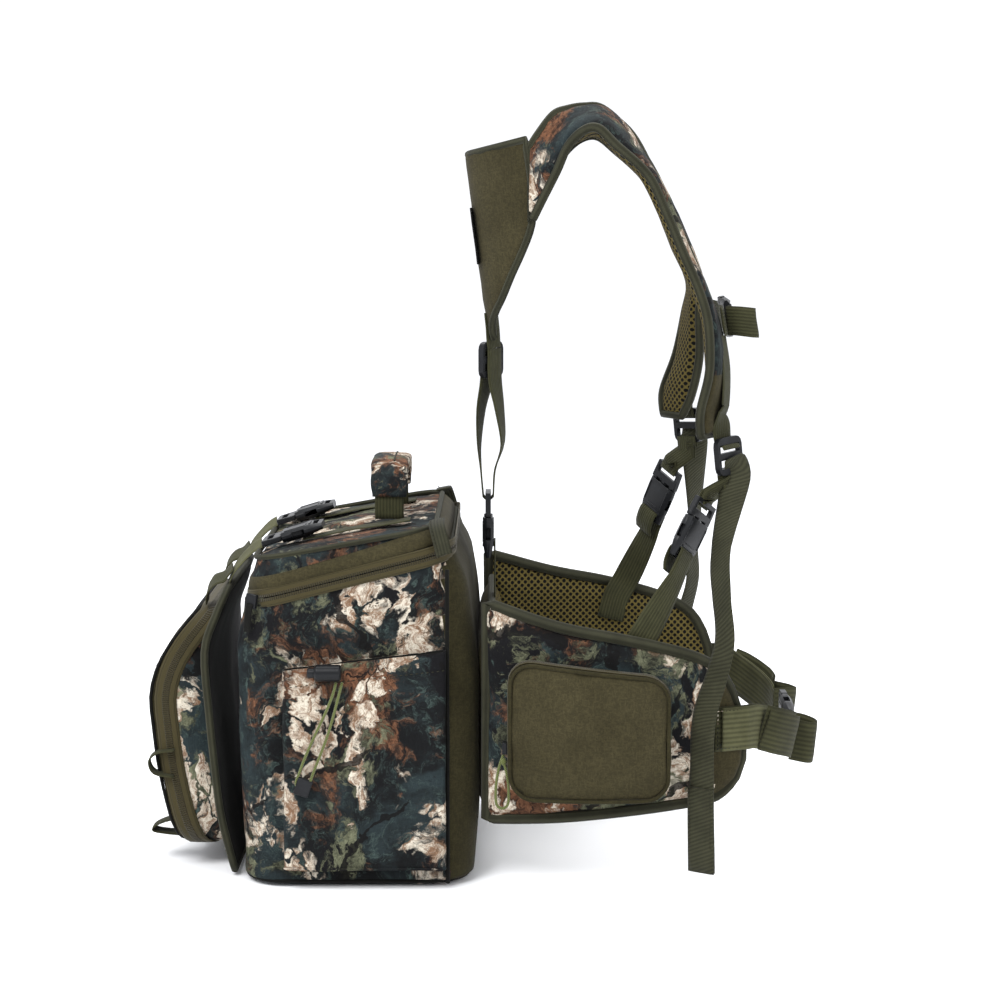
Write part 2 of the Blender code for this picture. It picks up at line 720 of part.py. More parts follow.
# inner edge and outer edge of a shoulder pad, from the yoke down to its lower end, for the far side
PAD_EDGES = (
    ((0.1555, 0.0665, 0.6319), (0.1580, 0.0745, 0.5725)),
    ((0.1684, 0.0620, 0.6481), (0.1705, 0.0860, 0.5977)),
    ((0.1804, 0.0600, 0.6524), (0.1794, 0.0980, 0.6184)),
    ((0.1942, 0.0580, 0.6542), (0.1917, 0.1080, 0.6314)),
    ((0.2096, 0.0570, 0.6525), (0.2040, 0.1140, 0.6336)),
    ((0.2295, 0.0570, 0.6339), (0.2182, 0.1150, 0.6204)),
    ((0.2481, 0.0571, 0.5977), (0.2451, 0.1169, 0.5959)),
    ((0.2636, 0.0570, 0.5663), (0.2606, 0.1170, 0.5651)),
    ((0.2775, 0.0580, 0.5331), (0.2745, 0.1180, 0.5325)),
    ((0.2932, 0.0591, 0.5006), (0.2884, 0.1189, 0.5006)),
    ((0.3050, 0.0613, 0.4725), (0.2960, 0.1207, 0.4725)),
    ((0.3150, 0.0644, 0.4341), (0.2970, 0.1216, 0.4341)),
    ((0.3142, 0.0709, 0.4000), (0.2898, 0.1191, 0.4000)),
    ((0.3075, 0.0813, 0.3790), (0.2905, 0.1107, 0.3790)),
)
# how far forward the far pad hangs of its mirror image, at the same stations
FAR_PAD_LEAN = (0.0, 0.0, 0.003, 0.006, 0.009, 0.012, 0.013, 0.013, 0.0145, 0.011, -0.001, -0.010, -0.015, -0.016)
PAD_THICK = 0.010
PAD_CHAMFER = 0.0035


def pad_edges(side, per_span=2):
    """The two edge lines of a shoulder pad."""
    lean = FAR_PAD_LEAN if side > 0 else [0.0] * len(PAD_EDGES)
    return [smooth([(pair[k][0] + dx, side * pair[k][1], pair[k][2]) for pair, dx in zip(PAD_EDGES, lean)], per_span)
            for k in (0, 1)]


def shoulder_pad(tag, side, body):
    inner, outer = pad_edges(side)
    centres = [(a + b) / 2 for a, b in zip(inner, outer)]
    rings = []
    for i, (a, b) in enumerate(zip(inner, outer)):
        along = centres[min(i + 1, len(centres) - 1)] - centres[max(i - 1, 0)]
        wide = (b - a).normalized()
        face = along.cross(wide).normalized()
        profile = section((b - a).length / 2, PAD_THICK / 2, PAD_CHAMFER)
        rings.append([centres[i] + wide * u + face * v for u, v in profile])
    lofted(f"shoulder_pad_{tag}", rings, CAMO, body)


def rear_hardware(pack, plug, harness):
    x, _, mouth = REAR_BUCKLE
    frame = frame_of(REAR_BUCKLE, (0, 0, 1), (1, 0, 0))
    female_half("rear_buckle_female", frame, pack)
    base = 0.022
    male_half("rear_buckle_male", frame, plug, base=base)
    over = x + BUCKLE_THICK / 2 + 0.0006 + WEBBING_THICK / 2
    strap("rear_anchor", [(over, 0, 0.2256), (over, 0, 0.245), (over, 0, 0.262), (over, 0, 0.2755)],
          (0, 1, 0), WEBBING, WEBBING_THICK, WEB, pack)
    ladder_z = 0.436
    turned_face = Vector((math.cos(REAR_TWIST), -math.sin(REAR_TWIST), 0))
    lock_frame = frame_of((REAR_LADDER_X, 0, ladder_z), (0, 0, 1), turned_face)
    ladder_lock("rear_ladder_lock", lock_frame, harness)
    bar = mouth + base - 0.0021
    turn = 0.0046
    loop = [(x + turn * math.cos(a), 0, bar + turn * math.sin(a))
            for a in (math.pi * (1 + i / 6) for i in range(7))]
    side_gap = 0.0025 + GAP + WEBBING_THICK / 2
    # height, centre x and half the gap between the two plies, from the buckle up
    plies = ((0.3380, 0.1123, 0.0062), (0.3620, 0.1150, 0.0106), (0.3920, 0.1145, 0.0088),
             (0.4190, REAR_LADDER_X, side_gap + 0.0004), (0.4460, REAR_LADDER_X, side_gap))
    low, high = plies[0][0], plies[-2][0]
    front, back, wides = [], [], []
    for z, middle, half in plies:
        share = min((z - low) / (high - low), 1.0)
        face = Vector((1, 0, 0)).lerp(turned_face, share).normalized()
        front.append(Vector((middle, 0, z)) + face * half)
        back.append(Vector((middle, 0, z)) - face * half)
        wides.append(Vector((-face.y, face.x, 0)))
    across = wides[::-1] + [Vector((0, 1, 0))] * len(loop) + wides
    strap("rear_strap", back[::-1] + loop + front, across, 0.022, WEBBING_THICK, WEB, harness)


def front_hardware(tag, side, harness, socket, tail):
    _, high, frame = front_line(side)
    female_half(f"front_female_{tag}", frame, socket)
    male_half(f"front_male_{tag}", frame, harness)
    ladder = frame_of(high, (-0.10, 0, 1.0), (FRONT_TURN * 0.7, side, 0))
    ladder_lock(f"ladder_lock_{tag}", ladder, harness)
    wide = frame.to_3x3() @ Vector((1, 0, 0))
    bar = ladder.to_3x3() @ Vector((1, 0, 0))
    start = frame @ Vector((0, 0, 0.0225))
    foot = ladder @ Vector((0, -0.0020, -0.0236))
    shares = [k / 4 for k in range(5)]
    run = [frame @ Vector((0, 0, 0.0200))] + [start.lerp(foot, k) for k in shares]
    run.append(ladder @ Vector((0, -0.0020, -0.0212)))
    across = [wide] + [wide.lerp(bar, k) for k in shares] + [bar]
    strap(f"front_link_{tag}", run, across, 0.020, WEBBING_THICK, WEB, harness)
    top = ladder @ Vector((0, 0.0050, -0.001))
    low_top = ladder @ Vector((0, 0.0056, -0.019))
    path = smooth([
        top, low_top, (0.3075, side * 0.1330, 0.285), (0.3065, side * 0.1530, 0.250),
        (0.3085, side * 0.1640, 0.215), (0.3020, side * 0.1665, 0.185), (0.2915, side * 0.1660, 0.145),
        (0.2905, side * 0.1660, 0.080), (0.2915, side * 0.1660, 0.0190),
    ], per_span=3)
    bar *= 1 if bar.x > 0 else -1
    hang = Vector((1, side * -0.10, 0))
    wides = [bar.lerp(hang, min(max(i - 3, 0) / 14, 1.0)) for i in range(len(path))]
    strap(f"tail_strap_{tag}", path, wides, WEBBING, WEBBING_THICK, WEB, tail)


STERNUM_X, STERNUM_Z = 0.3215, 0.474


def sternum(harness, plug):
    frame = frame_of((STERNUM_X, 0.004, STERNUM_Z), (0, 1, 0), (1, 0, 0.18))
    female_half("sternum_female", frame, harness)
    male_half("sternum_male", frame, plug)
    wide = (-0.18, 0, 1)
    path = [(0.3110, -0.0880, 0.4735), (0.3145, -0.0720, 0.4735), (0.3155, -0.0500, 0.4735),
            (0.3150, -0.0310, 0.4735)]
    strap("sternum_strap", path, wide, WEBBING, WEBBING_THICK, WEB, harness)


# ---- assembly ------------------------------------------------------------------------------
def build():
    bag_body()
    lumbar_pad()
    lid_body = pivot("lid_axis", LID_HINGE)
    handle_body = pivot("handle_axis", HANDLE_HINGE, lid_body)
    tail_body = pivot("tail_axis", TAIL_HINGE)
    pouch_body = pivot("pouch_axis", POUCH_HINGE, tail_body)
    plug_body = pivot("rear_plug_axis", REAR_BUCKLE)
    harness_hinge = (REAR_BUCKLE[0], 0.0, REAR_BUCKLE[2] + 0.0199)
    harness_body = pivot("harness_axis", harness_hinge, plug_body)
    bodies = {}
    lid(lid_body)
    handle(handle_body)
    tail_panel(tail_body)
    pouch(tail_body, pouch_body)
    yoke(harness_body)
    rear_hardware(None, plug_body, harness_body)
    for tag, side in SIDES.items():
        button = pivot(f"button_axis_{tag}", (LOCK_AT[0], side * LOCK_AT[1], LOCK_AT[2]))
        side_pocket(tag, side)
        cord_lock(tag, side, button)
        shock_cord(tag, side)
        catch = pivot(f"catch_axis_{tag}",
                      (COMPRESSION_MOUTH[0], side * COMPRESSION_Y, COMPRESSION_MOUTH[1]), lid_body)
        compression(tag, side, lid_body, catch)
        hinge = (WING_HINGE[0], side * WING_HINGE[1], WING_HINGE[2])
        wing_body = pivot(f"wing_axis_{tag}", hinge)
        bodies[f"wing_{tag}"] = wing_body
        flap = (WING_FLAP_HINGE[0], side * WING_FLAP_HINGE[1], WING_FLAP_HINGE[2])
        flap_body = pivot(f"wing_flap_axis_{tag}", flap, wing_body)
        wing(tag, side, wing_body)
        wing_pocket(tag, side, wing_body, flap_body)
        front_anchor(tag, side, wing_body)
        shoulder_pad(tag, side, harness_body)
        _, high, frame = front_line(side)
        socket = pivot(f"front_socket_axis_{tag}", frame.translation, harness_body)
        tail = pivot(f"tail_strap_axis_{tag}", high, harness_body)
        front_hardware(tag, side, harness_body, socket, tail)
    bodies["waist_plug"] = pivot("waist_plug_axis", (WAIST_X, 0, WAIST_Z), bodies["wing_near"])
    waist(bodies)
    sternum(harness_body, pivot("sternum_axis", (STERNUM_X, 0, STERNUM_Z), harness_body))


build()
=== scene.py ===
"""Looks of the lumbar hunting pack: fabric, webbing, buckles, cords, floor, light and camera."""

import json
import math

import bmesh
import bpy
from mathutils import Matrix, Vector, noise

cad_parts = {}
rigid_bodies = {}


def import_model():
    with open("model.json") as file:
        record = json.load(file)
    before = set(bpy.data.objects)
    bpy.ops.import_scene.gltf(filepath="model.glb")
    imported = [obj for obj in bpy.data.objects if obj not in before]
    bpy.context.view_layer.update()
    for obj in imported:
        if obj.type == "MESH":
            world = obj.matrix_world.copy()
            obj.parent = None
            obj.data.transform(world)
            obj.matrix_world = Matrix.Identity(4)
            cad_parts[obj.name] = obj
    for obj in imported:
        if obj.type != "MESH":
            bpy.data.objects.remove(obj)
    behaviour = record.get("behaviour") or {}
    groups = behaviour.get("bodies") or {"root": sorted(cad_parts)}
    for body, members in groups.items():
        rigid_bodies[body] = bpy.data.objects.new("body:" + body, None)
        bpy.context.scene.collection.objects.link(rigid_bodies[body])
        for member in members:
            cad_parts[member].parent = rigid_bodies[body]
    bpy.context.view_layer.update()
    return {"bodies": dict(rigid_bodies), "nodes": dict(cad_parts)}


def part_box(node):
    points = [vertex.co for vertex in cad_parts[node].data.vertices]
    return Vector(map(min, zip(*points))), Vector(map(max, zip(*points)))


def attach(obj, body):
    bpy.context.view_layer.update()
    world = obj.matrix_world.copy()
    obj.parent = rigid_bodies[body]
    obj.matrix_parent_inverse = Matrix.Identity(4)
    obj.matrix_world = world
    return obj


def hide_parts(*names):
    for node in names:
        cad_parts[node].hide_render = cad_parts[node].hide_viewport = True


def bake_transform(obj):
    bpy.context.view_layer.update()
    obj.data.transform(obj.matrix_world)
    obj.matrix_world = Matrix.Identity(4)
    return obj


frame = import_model()
NODES = frame["nodes"]
SIDES = {"near": -1, "far": 1}

# Shared sizes, in metres, as in the model.
WEBBING = 0.025
BELT_WEBBING = 0.038
WEBBING_THICK = 0.0016
CORD_DIAMETER = 0.0024
CORD_OUT = 0.1672
WING_THICK = 0.012
SOCKET_HALF_WIDTH, SOCKET_HALF_DEPTH = 0.018, 0.0045
WEB_OVER_SOCKET = SOCKET_HALF_DEPTH + 0.0006 + 0.00075
REAR_BUCKLE = (0.1125, 0.0, 0.297)
LADDER = (0.316, 0.1, 0.361)
FAR_LADDER_SHIFT = (-0.018, 0.0, 0.008)
FRONT_TURN = 1.6
FRONT_ANCHOR = (0.2345, 0.14, 0.2)
FRONT_BUCKLE_AT = 0.123
COMPRESSION_Y = 0.07
COMPRESSION_MOUTH = (-0.0634, 0.2886)
COMPRESSION_DROP = math.radians(17)
CORD_ROUTE = (
    (-0.0125, 0.1798), (-0.015, 0.17), (-0.0205, 0.156), (-0.0275, 0.141),
    (-0.034, 0.127), (-0.04, 0.113), (-0.044, 0.102), (-0.0462, 0.0965),
    (-0.046, 0.0925), (-0.043, 0.0895), (-0.039, 0.089), (-0.036, 0.0915),
    (-0.0345, 0.096), (-0.031, 0.106), (-0.025, 0.121), (-0.0195, 0.136),
    (-0.015, 0.151), (-0.011, 0.166), (-0.0075, 0.1798),
)


# Camera.
CAMERA_AIM = Vector((0.123, 0.0, 0.311))
CAMERA_DISTANCE = 2.1
CAMERA_HEIGHT_ANGLE = math.radians(7)


def camera():
    data = bpy.data.cameras.new("camera")
    data.lens = 85
    made = bpy.data.objects.new("camera", data)
    bpy.context.scene.collection.objects.link(made)
    back = Vector((0, -math.cos(CAMERA_HEIGHT_ANGLE), math.sin(CAMERA_HEIGHT_ANGLE)))
    made.location = CAMERA_AIM + back * CAMERA_DISTANCE
    made.rotation_euler = (-back).to_track_quat("-Z", "Y").to_euler()
    bpy.context.scene.camera = made


# Curves and sections.
def smooth(points, per_span=4):
    """More points on a Catmull-Rom curve through the given ones."""
    points = [Vector(p) for p in points]
    ends = [2 * points[0] - points[1]] + points + [2 * points[-1] - points[-2]]
    found = []
    for a, b, c, d in zip(ends, ends[1:], ends[2:], ends[3:]):
        for step in range(per_span):
            t = step / per_span
            found.append(
                0.5 * (2 * b + (c - a) * t + (2 * a - 5 * b + 4 * c - d) * t * t
                       + (3 * b - a - 3 * c + d) * t ** 3)
            )
    return found + [points[-1]]


def mm(side, *points):
    """Points given in millimetres, with y outwards on the near side (-1) or the far side (1)."""
    return [Vector((x / 1000, side * y / 1000, z / 1000)) for x, y, z in points]


def ramp(value, low, high):
    """0 below low, 1 above high and a straight line between them."""
    return min(max((value - low) / (high - low), 0), 1)


def between(table, x):
    """The value at x on straight lines through the table's (x, value) points."""
    for (x0, v0), (x1, v1) in zip(table, table[1:]):
        if x <= x1:
            return v0 + (v1 - v0) * max(x - x0, 0.0) / (x1 - x0)
    return table[-1][1]


def curve_value(table, x):
    """Like between, but on a smooth curve through the table's points."""
    line = smooth([(a, b, 0) for a, b in table], 6)
    return between([(p.x, p.y) for p in line], x)


def rounded_rectangle(low, high, radius, steps=6, along=6):
    """A rectangle's outline with round corners of that many steps and sides of that many points."""
    centres = (
        (high[0] - radius, high[1] - radius),
        (low[0] + radius, high[1] - radius),
        (low[0] + radius, low[1] + radius),
        (high[0] - radius, low[1] + radius),
    )
    points = []
    for corner, (x, y) in enumerate(centres):
        for step in range(steps + 1):
            angle = math.pi / 2 * (corner + step / steps)
            points.append((x + radius * math.cos(angle), y + radius * math.sin(angle)))
    found = []
    for i, point in enumerate(points):
        found.append(point)
        if i % (steps + 1) == steps:
            after = points[(i + 1) % len(points)]
            for step in range(1, along + 1):
                share = step / (along + 1)
                found.append(tuple(a + (b - a) * share for a, b in zip(point, after)))
    return found


def frame_of(origin, along, normal):
    """A buckle's frame: z along the strap, y out of its face and x across it."""
    z = Vector(along).normalized()
    y = Vector(normal)
    y = (y - z * y.dot(z)).normalized()
    x = y.cross(z)
    made = Matrix((x, y, z)).transposed().to_4x4()
    made.translation = Vector(origin)
    return made


# Nodes for materials.
class Look:
    """A material being made: short calls that add nodes and link them."""

    def __init__(self, name, roughness=0.8):
        self.material = bpy.data.materials.new(name)
        self.material.use_nodes = True
        self.tree = self.material.node_tree
        self.shader = self.tree.nodes["Principled BSDF"]
        self.shader.inputs["Roughness"].default_value = roughness
        self.place = self.add("ShaderNodeTexCoord").outputs["Object"]
        self.height = None

    def add(self, kind, **settings):
        node = self.tree.nodes.new(kind)
        for key, value in settings.items():
            setattr(node, key, value)
        return node

    def link(self, source, target):
        if hasattr(source, "links"):
            self.tree.links.new(source, target)
        else:
            target.default_value = source

    def math(self, operation, a, b=0.0, c=0.0, clamp=False):
        node = self.add("ShaderNodeMath", operation=operation, use_clamp=clamp)
        for value, socket in zip((a, b, c), node.inputs):
            self.link(value, socket)
        return node.outputs[0]

    def noise(self, scale, detail=4.0, roughness=0.55, distortion=0.0, place=None):
        node = self.add("ShaderNodeTexNoise")
        self.link(place or self.place, node.inputs["Vector"])
        node.inputs["Scale"].default_value = scale
        node.inputs["Detail"].default_value = detail
        node.inputs["Roughness"].default_value = roughness
        node.inputs["Distortion"].default_value = distortion
        return node.outputs["Fac"]

    def moved(self, offset, stretch=(1, 1, 1), turn=(0, 0, 0), place=None):
        node = self.add("ShaderNodeMapping")
        self.link(place or self.place, node.inputs["Vector"])
        node.inputs["Location"].default_value = offset
        node.inputs["Scale"].default_value = stretch
        node.inputs["Rotation"].default_value = turn
        return node.outputs[0]

    def step(self, value, low, high):
        """0 below low and 1 above high."""
        node = self.add("ShaderNodeMapRange", interpolation_type="SMOOTHSTEP")
        self.link(value, node.inputs["Value"])
        node.inputs["From Min"].default_value = low
        node.inputs["From Max"].default_value = high
        return node.outputs["Result"]

    def mix(self, factor, a, b, blend="MIX"):
        node = self.add("ShaderNodeMix", data_type="RGBA", blend_type=blend)
        self.link(factor, node.inputs["Factor"])
        for value, socket in ((a, node.inputs["A"]), (b, node.inputs["B"])):
            if isinstance(value, tuple):
                socket.default_value = (*value, 1.0)
            else:
                self.link(value, socket)
        return node.outputs["Result"]

    def parts(self, place=None):
        node = self.add("ShaderNodeSeparateXYZ")
        self.link(place or self.place, node.inputs[0])
        return node.outputs

    def wave(self, value, period):
        """0..1 ripple with this period in metres."""
        turned = self.math("MULTIPLY", value, 2 * math.pi / period)
        return self.math("MULTIPLY_ADD", self.math("SINE", turned), 0.5, 0.5)

    def bump(self, height, distance, strength=1.0):
        node = self.add("ShaderNodeBump")
        self.link(height, node.inputs["Height"])
        node.inputs["Distance"].default_value = distance
        node.inputs["Strength"].default_value = strength
        if self.height:
            self.link(self.height, node.inputs["Normal"])
        self.height = node.outputs["Normal"]

    def done(self, colour, sheen=0.0, rough=None, specular=0.12):
        self.link(colour, self.shader.inputs["Base Color"])
        if rough is not None:
            self.link(rough, self.shader.inputs["Roughness"])
        self.shader.inputs["Specular IOR Level"].default_value = specular
        self.shader.inputs["Sheen Weight"].default_value = sheen
        self.shader.inputs["Sheen Roughness"].default_value = 0.5
        if self.height:
            self.link(self.height, self.shader.inputs["Normal"])
        return self.material


def tone(r, g, b):
    """A linear colour from 0-255 display values."""
    return tuple(((v / 255 + 0.055) / 1.055) ** 2.4 if v > 10 else v / 3295 for v in (r, g, b))


def shade(colour, share):
    return tuple(c * share for c in colour)


def weave(look, colour, depth=0.00022, dark=0.74):
    """Crossed threads, each a little different, so that the cloth has a tooth without a regular grid."""
    level = look.noise(620, 2, 0.6, 0, look.moved((0, 0, 0), (0.35, 0.35, 1)))
    upright = look.noise(620, 2, 0.6, 0, look.moved((5, 2, 1), (1, 1, 0.3)))
    threads = look.math("MAXIMUM", level, upright)
    look.bump(threads, depth, 0.8)
    low = look.mix(1.0, colour, (dark, dark, dark), "MULTIPLY")
    return look.mix(look.step(threads, 0.46, 0.64), low, colour)


def plain_cloth(name, colour, wear=0.12):
    look = Look(name, 0.85)
    cloudy = look.noise(26, 5, 0.6)
    colour = look.mix(look.step(cloudy, 0.3, 0.75), shade(colour, 0.82),
                      tuple(min(1, c * (1 + wear) + 0.002) for c in colour))
    fine = look.noise(900, 2, 0.5)
    colour = look.mix(look.step(fine, 0.35, 0.7), look.mix(1.0, colour, (0.78, 0.78, 0.78), "MULTIPLY"),
                      colour)
    look.bump(look.noise(60, 4), 0.0012, 0.35)
    return look.done(weave(look, colour), sheen=0.02)


def camo_cloth(name):
    """Woodland print: navy and teal ground, rust bark, grey brush, cream leaves and dark twigs."""
    look = Look(name, 0.84)

    def drift(scale, size, place):
        source = look.add("ShaderNodeTexNoise")
        look.link(place, source.inputs["Vector"])
        source.inputs["Scale"].default_value = scale
        source.inputs["Detail"].default_value = 5
        node = look.add("ShaderNodeVectorMath", operation="MULTIPLY_ADD")
        look.link(source.outputs["Color"], node.inputs[0])
        node.inputs[1].default_value = (size, size, size)
        look.link(place, node.inputs[2])
        return node.outputs[0]

    warped = drift(95, 0.014, drift(18, 0.055, look.place))

    def patch(offset, scale, low, high, detail=6.0, roughness=0.62, stretch=(1, 1, 1)):
        return look.step(look.noise(scale, detail, roughness, 0.3,
                                    look.moved(offset, stretch, (0, 0, 0), warped)),
                         low, high)

    def cells(scale, offset, feature, output):
        node = look.add("ShaderNodeTexVoronoi", feature=feature)
        look.link(look.moved(offset, (1, 1, 0.8), (0.2, 0.5, 0.1), warped), node.inputs["Vector"])
        node.inputs["Scale"].default_value = scale
        return node.outputs[output]

    grain = look.noise(330, 5, 0.75, 0.4)
    streaks = look.noise(120, 7, 0.78, 0.9, look.moved((0, 0, 0), (1, 1, 0.45), (0, 0, 0), warped))
    dirt = look.noise(60, 8, 0.8, 0.5, look.moved((3, 3, 3), (1, 1, 0.7), (0, 0, 0), warped))
    ground = look.mix(patch((1.3, 0.2, 0.7), 11, 0.44, 0.62), tone(13, 14, 15), tone(34, 43, 45))
    ground = look.mix(look.step(streaks, 0.5, 0.72), ground, tone(62, 76, 72))
    bark = look.mix(look.step(streaks, 0.38, 0.66), tone(22, 16, 13), tone(112, 76, 54))
    colour = look.mix(patch((7.7, 0.4, 3.2), 10, 0.5, 0.57, 8, 0.7), ground, bark)
    brush = look.mix(look.step(dirt, 0.36, 0.66), tone(24, 25, 20), tone(104, 106, 84))
    colour = look.mix(patch((2.6, 5.1, 8.3), 13, 0.54, 0.59, 8, 0.7), colour, brush)
    colour = look.mix(patch((4.4, 6.1, 0.3), 15, 0.56, 0.6, 8, 0.7, (1, 1, 0.6)), colour, tone(13, 13, 15))
    clusters = patch((0.9, 3.3, 5.2), 9.5, 0.51, 0.55, 6, 0.6)
    for scale, offset, wanted in ((26, (0.0, 0.0, 0.0), 0.42), (46, (3.1, 1.7, 0.4), 0.55)):
        chosen = look.parts(cells(scale, offset, "F1", "Color"))[0]
        inside = look.step(cells(scale, offset, "DISTANCE_TO_EDGE", "Distance"), 0.03, 0.07)
        ragged = look.step(dirt, 0.36, 0.44)
        leaf = look.math("MULTIPLY", look.math("MULTIPLY", look.math("GREATER_THAN", chosen, wanted),
                                               inside), ragged)
        leaf = look.math("MULTIPLY", leaf, clusters)
        bright = look.mix(look.step(streaks, 0.4, 0.6), tone(196, 188, 172), tone(112, 86, 66))
        bright = look.mix(look.step(grain, 0.56, 0.66), bright, tone(84, 68, 54))
        colour = look.mix(leaf, colour, bright)
    reach = look.step(look.noise(12, 3, 0.5, 0, warped), 0.44, 0.6)
    twig = look.math("LESS_THAN", cells(9.5, (1.0, 2.0, 3.0), "DISTANCE_TO_EDGE", "Distance"),
                     look.math("MULTIPLY", reach, 0.03))
    colour = look.mix(look.math("MULTIPLY", twig, 0.9), colour, tone(10, 9, 9))
    look.bump(look.noise(45, 4), 0.0015, 0.4)
    return look.done(weave(look, colour, 0.00016, 0.8), sheen=0.01)


def webbing_cloth(name, colour, ribs=8, slant=0.0):
    """Woven strap; its UV runs across (0..1) and along (metres). A slant lays the ribs diagonally."""
    look = Look(name, 0.78)
    uv = look.add("ShaderNodeTexCoord").outputs["UV"]
    across, along = look.parts(uv)[0:2]
    if slant:
        rib = look.wave(look.math("ADD", along, look.math("MULTIPLY", across, slant)), 0.0033)
    else:
        rib = look.wave(across, 1.0 / ribs)
    fibres = look.noise(700, 3, 0.7)
    height = look.math("ADD", look.math("MULTIPLY", rib, 0.6), look.math("MULTIPLY", fibres, 0.4))
    look.bump(height, 0.0006, 0.9)
    cloudy = look.noise(40, 5, 0.6)
    base = look.mix(look.step(cloudy, 0.3, 0.7), shade(colour, 0.82), shade(colour, 1.15))
    dark = look.mix(1.0, base, (0.62, 0.62, 0.6), "MULTIPLY")
    return look.done(look.mix(look.step(height, 0.2, 0.75), dark, base), sheen=0.03)


def mesh_cloth(name, first, second):
    """Spacer mesh: amber strands round dark holes in rows; first and second are coordinate numbers."""
    look = Look(name, 0.85)
    axes = look.parts()
    a, b = axes[first], axes[second]
    pitch = 0.0062
    ring = look.math("MULTIPLY", look.wave(look.math("ADD", a, b), pitch),
                     look.wave(look.math("SUBTRACT", a, b), pitch))
    hole = look.step(ring, 0.16, 0.3)
    strand = look.noise(700, 2)
    thread = look.mix(strand, tone(52, 46, 23), tone(100, 88, 46))
    colour = look.mix(hole, thread, tone(6, 6, 5))
    look.bump(look.math("SUBTRACT", 1.0, hole), 0.0012, 0.9)
    return look.done(colour)


def moulded(name, colour=(0.006, 0.0065, 0.0075)):
    look = Look(name, 0.34)
    fine = look.noise(420, 3, 0.6)
    look.bump(fine, 0.00018, 0.35)
    worn = look.noise(60, 5, 0.6)
    rough = look.math("MULTIPLY_ADD", worn, 0.22, 0.22)
    tint = look.mix(look.step(worn, 0.45, 0.8), colour, shade(colour, 2.0))
    return look.done(tint, rough=rough, specular=0.17)


def braided(name, colour):
    look = Look(name, 0.7)
    x, _, z = look.parts()
    braid = look.math("MULTIPLY", look.wave(look.math("ADD", z, x), 0.0017),
                      look.wave(look.math("SUBTRACT", z, x), 0.0017))
    look.bump(braid, 0.0004, 0.8)
    return look.done(look.mix(look.step(braid, 0.05, 0.7), shade(colour, 0.5), colour), sheen=0.2)


def zip_cloth(name, colour):
    """Zip tape with a coil down its middle; UV runs across (0..1) and along (metres)."""
    look = Look(name, 0.72)
    uv = look.add("ShaderNodeTexCoord").outputs["UV"]
    across, along = look.parts(uv)[0:2]
    centre = look.math("ABSOLUTE", look.math("SUBTRACT", across, 0.5))
    coil = look.math("SUBTRACT", 1.0, look.step(centre, 0.13, 0.17))
    teeth = look.wave(look.math("ADD", along, look.math("MULTIPLY", centre, 0.002)), 0.0019)
    groove = look.step(look.math("ABSOLUTE", look.math("SUBTRACT", centre, 0.4)), 0.0, 0.03)
    height = look.math("ADD", look.math("MULTIPLY", coil, look.math("ADD", teeth, 0.6)),
                       look.math("MULTIPLY", groove, 0.25))
    look.bump(height, 0.0009, 0.9)
    dark = shade(colour, 0.45)
    tape = look.mix(look.wave(along, 0.0011), shade(colour, 0.8), colour)
    body = look.mix(look.math("MULTIPLY", coil, look.math("SUBTRACT", 1.0, teeth)), tape, dark)
    return look.done(look.mix(groove, shade(colour, 0.5), body), sheen=0.1)


CAMO = camo_cloth("camo_print")
OLIVE = plain_cloth("olive_oxford", tone(56, 51, 31))
OLIVE_PANEL = plain_cloth("olive_panel", tone(46, 42, 22))
# Near-black lining cloth, also used for piping, zip pulls and the yoke patch: partly its own dark colour,
# partly painted shade, darkened so that faces lying in deep shadow read black.
LINING_WITH_PAINTED_SHADE = plain_cloth("dark_lining_painted_shade", tone(12, 12, 9))
BINDING = webbing_cloth("grosgrain_binding", tone(44, 44, 32), 5)
WEB = webbing_cloth("olive_webbing", tone(52, 52, 33), 9)
TAB_WEB = webbing_cloth("pale_olive_webbing", tone(76, 76, 52), 9)
TAIL_WEB = webbing_cloth("twill_webbing", tone(50, 50, 36), slant=0.011)
MESH_WING = mesh_cloth("air_mesh_wing", 0, 2)
MESH_BACK = mesh_cloth("air_mesh_back", 1, 2)
PLASTIC = moulded("black_acetal")
SHEET_PLASTIC = moulded("stiffener_grey", (0.03, 0.03, 0.03))
CORD = braided("green_braid", tone(104, 112, 62))
ZIP = zip_cloth("olive_zip", tone(56, 50, 28))
for slot, looks in (
    ("camo_fabric", (CAMO,)), ("olive_fabric", (OLIVE, OLIVE_PANEL, LINING_WITH_PAINTED_SHADE, ZIP)), ("green_cord", (CORD,)),
    ("olive_webbing", (BINDING, WEB, TAB_WEB, TAIL_WEB)), ("air_mesh", (MESH_WING, MESH_BACK)),
    ("black_plastic", (PLASTIC,)), ("stiffener", (SHEET_PLASTIC,)),
):
    {look.name: slot for look in looks}


# Making pieces.
def put(name, bm, body, looks, sharp=None, stands_for=None):
    """Makes the piece that bm holds: its looks and the body that it rides on."""
    mesh = bpy.data.meshes.new(name)
    bm.to_mesh(mesh)
    bm.free()
    made = bpy.data.objects.new(name, mesh)
    bpy.context.scene.collection.objects.link(made)
    for look in looks:
        mesh.materials.append(look)
    mesh.shade_smooth()
    if sharp:
        mesh.set_sharp_from_angle(angle=math.radians(sharp))
    if body:
        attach(made, body)
    if stands_for:
        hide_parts(stands_for)
    return made


